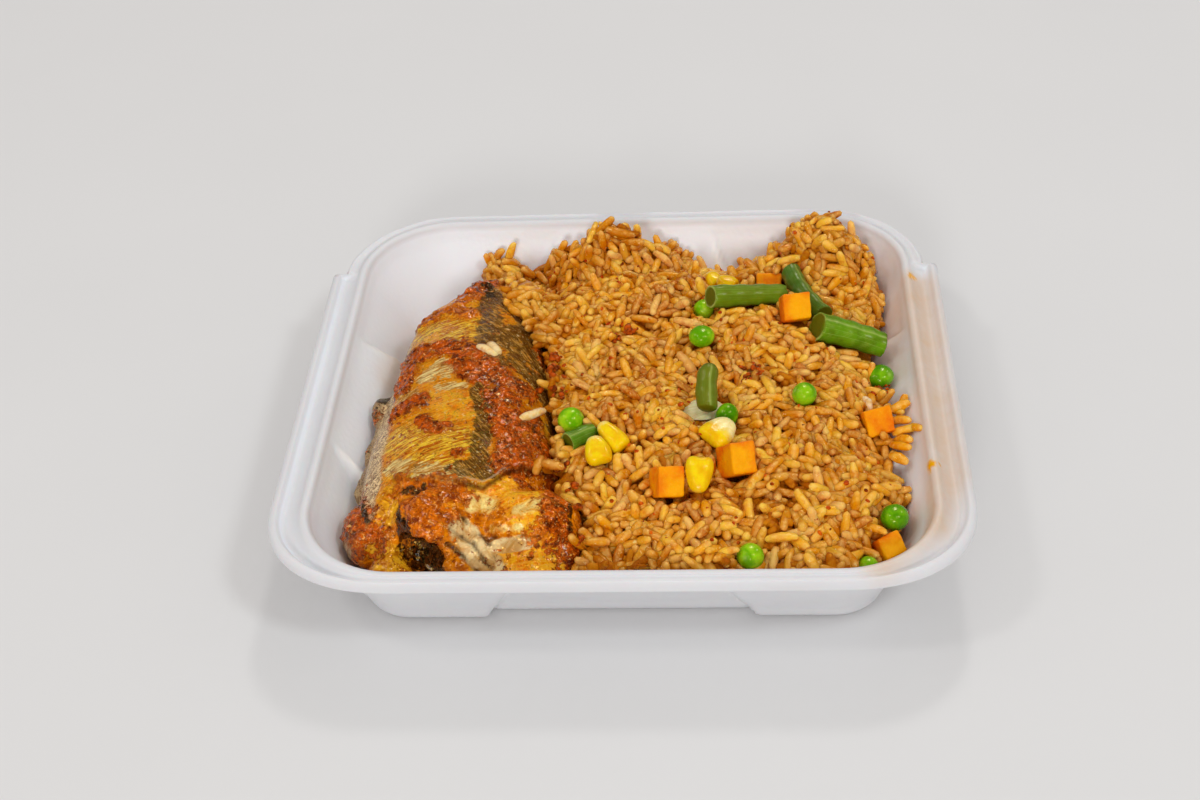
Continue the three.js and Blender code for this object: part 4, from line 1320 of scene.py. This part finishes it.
class Heap:  # many grains: middles, ways they point, ways up and out of the heap, and sizes
    def __init__(self, core, count, layers, tilt, random, solids):
        places, self.out = sampleCore(core, count, random, solids)
        scale = np.clip(random.normal(1, rice["uneven"], count), 0.6, 1.22)
        broken = random.uniform(size=count) < rice["broken"]
        scale[broken] *= random.uniform(0.45, 0.75, broken.sum())
        across = random.normal(1, rice["uneven"] / 2, (count, 2))
        sizes = [rice["length"] * scale, rice["width"] * across[:, 0], rice["thick"] * across[:, 1]]
        self.sizes = np.stack(sizes, axis=1)
        self.radius = rice["overlap"] * self.sizes[:, 1:].sum(axis=1) / 4
        self.half = np.maximum(self.sizes[:, 0] / 2 - self.radius, 0.4)
        self.bend = random.uniform(-0.2, 0.75, count)
        self.taper = random.uniform(-0.14, 0.14, count)
        self.middle = places + self.out * random.uniform(*layers, (count, 1))
        flat = np.cross(self.out, unit(random.normal(size=(count, 3))))
        self.way = unit(unit(flat) + self.out * random.normal(0, tilt, (count, 1)))
        self.up = self.out + random.normal(0, 0.35, (count, 3))

    def keep(self, chosen):
        for name, values in vars(self).items():
            setattr(self, name, values[chosen])

    def clusters(self, template):
        return grainPoints(template, self.middle, self.way, self.up, self.sizes, self.bend, self.taper)


def hiding(heap, meshes):  # grains that would stand before the upper part of a vegetable
    seen = Vector(camera["place"]) / mm
    hides = np.zeros(len(heap.middle), bool)
    for mesh in meshes:
        tree, points = treeOf([mesh]), pointsOf(mesh)
        middle, (_, _, tall) = boxOf(points)
        near = np.linalg.norm(heap.middle - middle, axis=1) < 24  # others are too far to stand before it
        covered = points[:, 2].min() + rice["covered"] * tall * (tall > 3.5)  # none of the thin slice
        for i in np.nonzero(near)[0]:
            for share in (-0.9, 0, 0.9):
                point = Vector(heap.middle[i] + share * heap.half[i] * heap.way[i])
                hit = tree.ray_cast(point, (point - seen).normalized(), 9)[0]
                hides[i] |= hit is not None and hit.z > covered
    return hides


def riceShade(heap, random):
    clumps = rice["clumps"] * noise(heap.middle, 12, 9)
    shade = np.clip(random.beta(2.2, 1.8, len(heap.middle)) + clumps, 0, 0.88)
    shade[random.uniform(size=len(shade)) < rice["pale"]] = 1
    return shade


def makeRice(paint):
    random = np.random.RandomState(rice["seed"])
    core = makeCore()
    coreTree = treeOf([core])
    kinds = ("pea", "corn", "carrot", "bean", "onion")
    vegetables = [piece.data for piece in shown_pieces() if piece.get("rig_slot") in kinds]
    covers = treeOf([trayMesh, fishMesh] + vegetables)
    solids = treeOf([fishMesh] + vegetables)
    heap = Heap(core, rice["grains"], rice["layers"], rice["tilt"], random, covers)
    settle(heap, coreTree, solids)
    heap.keep(~hiding(heap, vegetables))
    away = np.array([coreTree.find_nearest(Vector(middle))[3] for middle in heap.middle])
    print("rice settled", len(away), "heights", np.percentile(away, (5, 50, 95)).round(2))
    template, faces, tips = grainTemplate(7, 6)
    shade = riceShade(heap, random)
    # grains low in the heap turn more orange for the sauce there and darker as painted shade under the grains
    # above
    sunk = 1 - fade(away + 0.6 * noise(heap.middle, 9, 17), 1.2, 3.4)
    grains = grainsMesh("rice_grains", heap.clusters(template), faces, tips, shade=shade, sunk=sunk)
    deep = Heap(core, rice["deepGrains"], (-0.6, 1.0), 0.25, random, covers)
    clear = np.array([solids.find_nearest(Vector(middle), 2.8)[0] is None for middle in deep.middle])
    deep.keep(clear & (deep.middle == insideWall(deep.middle, 3.5)).all(axis=1))
    template, faces, tips = grainTemplate(6, 5)
    fused = joined("rice_deep", deep.clusters(template), faces)
    movePoints(fused, insideWall(pointsOf(fused), 0.2))
    addPiece("rice_core", meshOf(shapeOf(core, fused), "rice_core"), "rice", corePaint(), ["rice"])
    addPiece("rice_grains", grains, "rice", paint, ["rice"])
    heap.keep(away > 2.2)
    return heap


def makeLooseGrains(paint):  # grains that lie on the fish and on the tray's wall
    random = np.random.RandomState(looseGrains["seed"])
    ends = np.array(looseGrains["ends"], float)
    count = len(ends)
    sizes = np.ones((count, 1)) * (0, rice["width"], rice["thick"])
    sizes[:, 0] = np.linalg.norm(ends[:, 1] - ends[:, 0], axis=1)
    way = unit(ends[:, 1] - ends[:, 0])
    template, faces, tips = grainTemplate(10, 8)
    up = np.ones((count, 1)) * (0.1, 0, 1)
    bend = random.uniform(0, 0.5, count)
    clusters = grainPoints(template, ends.mean(axis=1), way, up, sizes, bend, np.zeros(count))
    shade = random.uniform(0.4, 0.88, count)
    shade[: looseGrains["pale"]] = 1.4
    mesh = grainsMesh("loose_grains", clusters, faces, tips, shade=shade, sunk=np.zeros(count))
    addPiece("loose_grains", mesh, "rice", paint)


def bitsPaint():
    paint = wetPaint("pepper_bits", 0.1, 1)
    kind = paint.mask("kind")
    cloud = paint.spots(0.35, 0.65, 1.6, 3)
    stew = paint.mix(cloud, (104, 28, 0), (196, 76, 4))
    red = paint.mix(cloud, (170, 44, 0), (222, 98, 6))
    cream = paint.mix(cloud, (224, 176, 110), (246, 222, 178))
    colour = paint.layers(stew, (paint.fade(kind, 0.2, 0.4), red), (paint.fade(kind, 0.6, 0.9), cream))
    return paint.finish(colour, 0.25 + 0.2 * paint.grain(1, 2), paint.bump(paint.grain(1, 3), 0.3, 0.8))


def makeBits(heap):  # red flecks on the grains, then the larger bits at their places
    random = np.random.RandomState(bits["seed"])
    mesh, ball = startMesh("bit", bmesh.ops.create_icosphere, subdivisions=2, radius=1)
    flecks = bits["flecks"]
    chosen = random.choice(len(heap.middle), flecks, replace=False)
    along = heap.way[chosen] * random.uniform(-3, 3, (flecks, 1))
    places = heap.middle[chosen] + along + heap.out[chosen] * heap.sizes[chosen, 2:] * 0.46
    spans = random.uniform(*bits["fleckSpan"], flecks)
    spans = spans * np.where(random.uniform(size=flecks) < 0.1, 1.5, 1)
    kinds = random.choice([0.5, 0.5, 0], flecks)
    for place, span, kind in bits["rows"]:
        parts = 1 if kind == 1 else bits["parts"]  # a cream chip is whole
        places = np.concatenate([places, place + random.normal(0, 0.3 * span, (parts, 3)) * (1, 1, 0.3)])
        spans = np.concatenate([spans, span * random.uniform(0.25, 0.6, parts) if parts > 1 else [span]])
        kinds = np.concatenate([kinds, np.full(parts, kind)])
    count = len(places)
    up = np.concatenate([heap.out[chosen], np.ones((count - flecks, 1)) * (0, -0.4, 1)])
    way = unit(np.cross(up, unit(random.normal(size=(count, 3)))))
    shares = [random.uniform(low, high, count) for low, high in ((0.9, 1.5), (0.7, 1.1), (0.35, 0.6))]
    taper = random.uniform(-0.35, 0.35, count)
    clusters = grainPoints(ball, places, way, up, spans[:, None] * np.stack(shares, axis=1), 0 * taper, taper)
    addPiece("pepper_bits", joined("pepper_bits", clusters, facesOf(mesh), kind=kinds), "rice", bitsPaint())


riceLook = ricePaint()
riceHeap = makeRice(riceLook)
makeLooseGrains(riceLook)
makeBits(riceHeap)
print("rice ready")


# Floor and light.

def makeFloor():
    mesh = startMesh("floor", bmesh.ops.create_grid, x_segments=2, y_segments=2, size=3)[0]
    paint = Paint("floor_paint", Roughness=0.7, Specular_IOR_Level=0.2)
    paint.finish(paint.mix(paint.grain(90, 2), (222, 222, 223), (225, 225, 226)))
    mesh.materials.append(paint.material)
    piece = addObject("floor", mesh)


light = {
    "sky": (1.0, 0.96, 0.925),
    "skyStrength": 0.58,
    "skyInGloss": 0.05,  # a darker sky for reflections, so that wet food keeps its deep colours
    "lamps": [  # place, size, power and tint: the key, then small ones whose glints show on wet food
        ((1.5, -1.14, 2.34), 0.5, 15.5, (0.94, 0.985, 1.0)),
        ((-0.2, -2.4, 1.0), 0.5, 18, (1.0, 0.99, 0.97)),
        ((-1.4, -0.5, 2.2), 0.35, 5.5, (1.0, 0.98, 0.95)),
        ((0.3, 1.6, 2.2), 0.35, 8.5, (1.0, 0.98, 0.95)),
    ],
    "glossTint": (1.0, 0.97, 0.93),
    "glosses": [  # place, size and power of lamps that are seen only as the shine on wet food
        ((0.4, 2.2, 2.3), 0.6, 11), ((-2.3, 0.2, 2.0), 0.7, 10), ((2.1, 1.2, 2.1), 0.6, 7),
        ((-1.3, -2.3, 2.0), 0.6, 8), ((0.9, -1.6, 2.8), 0.5, 7),
    ],
}


def makeLight():
    world = bpy.data.worlds.new("world")
    world.use_nodes = True
    nodes, links = world.node_tree.nodes, world.node_tree.links
    sky = nodes["Background"]
    sky.inputs["Color"].default_value = (*light["sky"], 1)
    path = nodes.new("ShaderNodeLightPath")
    strength = nodes.new("ShaderNodeMix")
    strength.inputs["A"].default_value = light["skyStrength"]
    strength.inputs["B"].default_value = light["skyInGloss"]
    links.new(path.outputs["Is Glossy Ray"], strength.inputs["Factor"])
    links.new(strength.outputs["Result"], sky.inputs["Strength"])
    bpy.context.scene.world = world
    glosses = [(*row, light["glossTint"]) for row in light["glosses"]]
    for number, (place, size, power, tint) in enumerate(light["lamps"] + glosses):
        lamp = bpy.data.lights.new("lamp", "AREA")
        lamp.shape = "DISK"
        lamp.size = size
        lamp.energy = power
        lamp.color = tint
        piece = addObject("lamp", lamp)
        piece.visible_diffuse = number < len(light["lamps"])
        piece.location = place
        piece.rotation_euler = (-Vector(place)).to_track_quat("-Z", "Y").to_euler()


makeFloor()
makeLight()
bpy.context.scene.view_settings.view_transform = "Standard"

print("done")
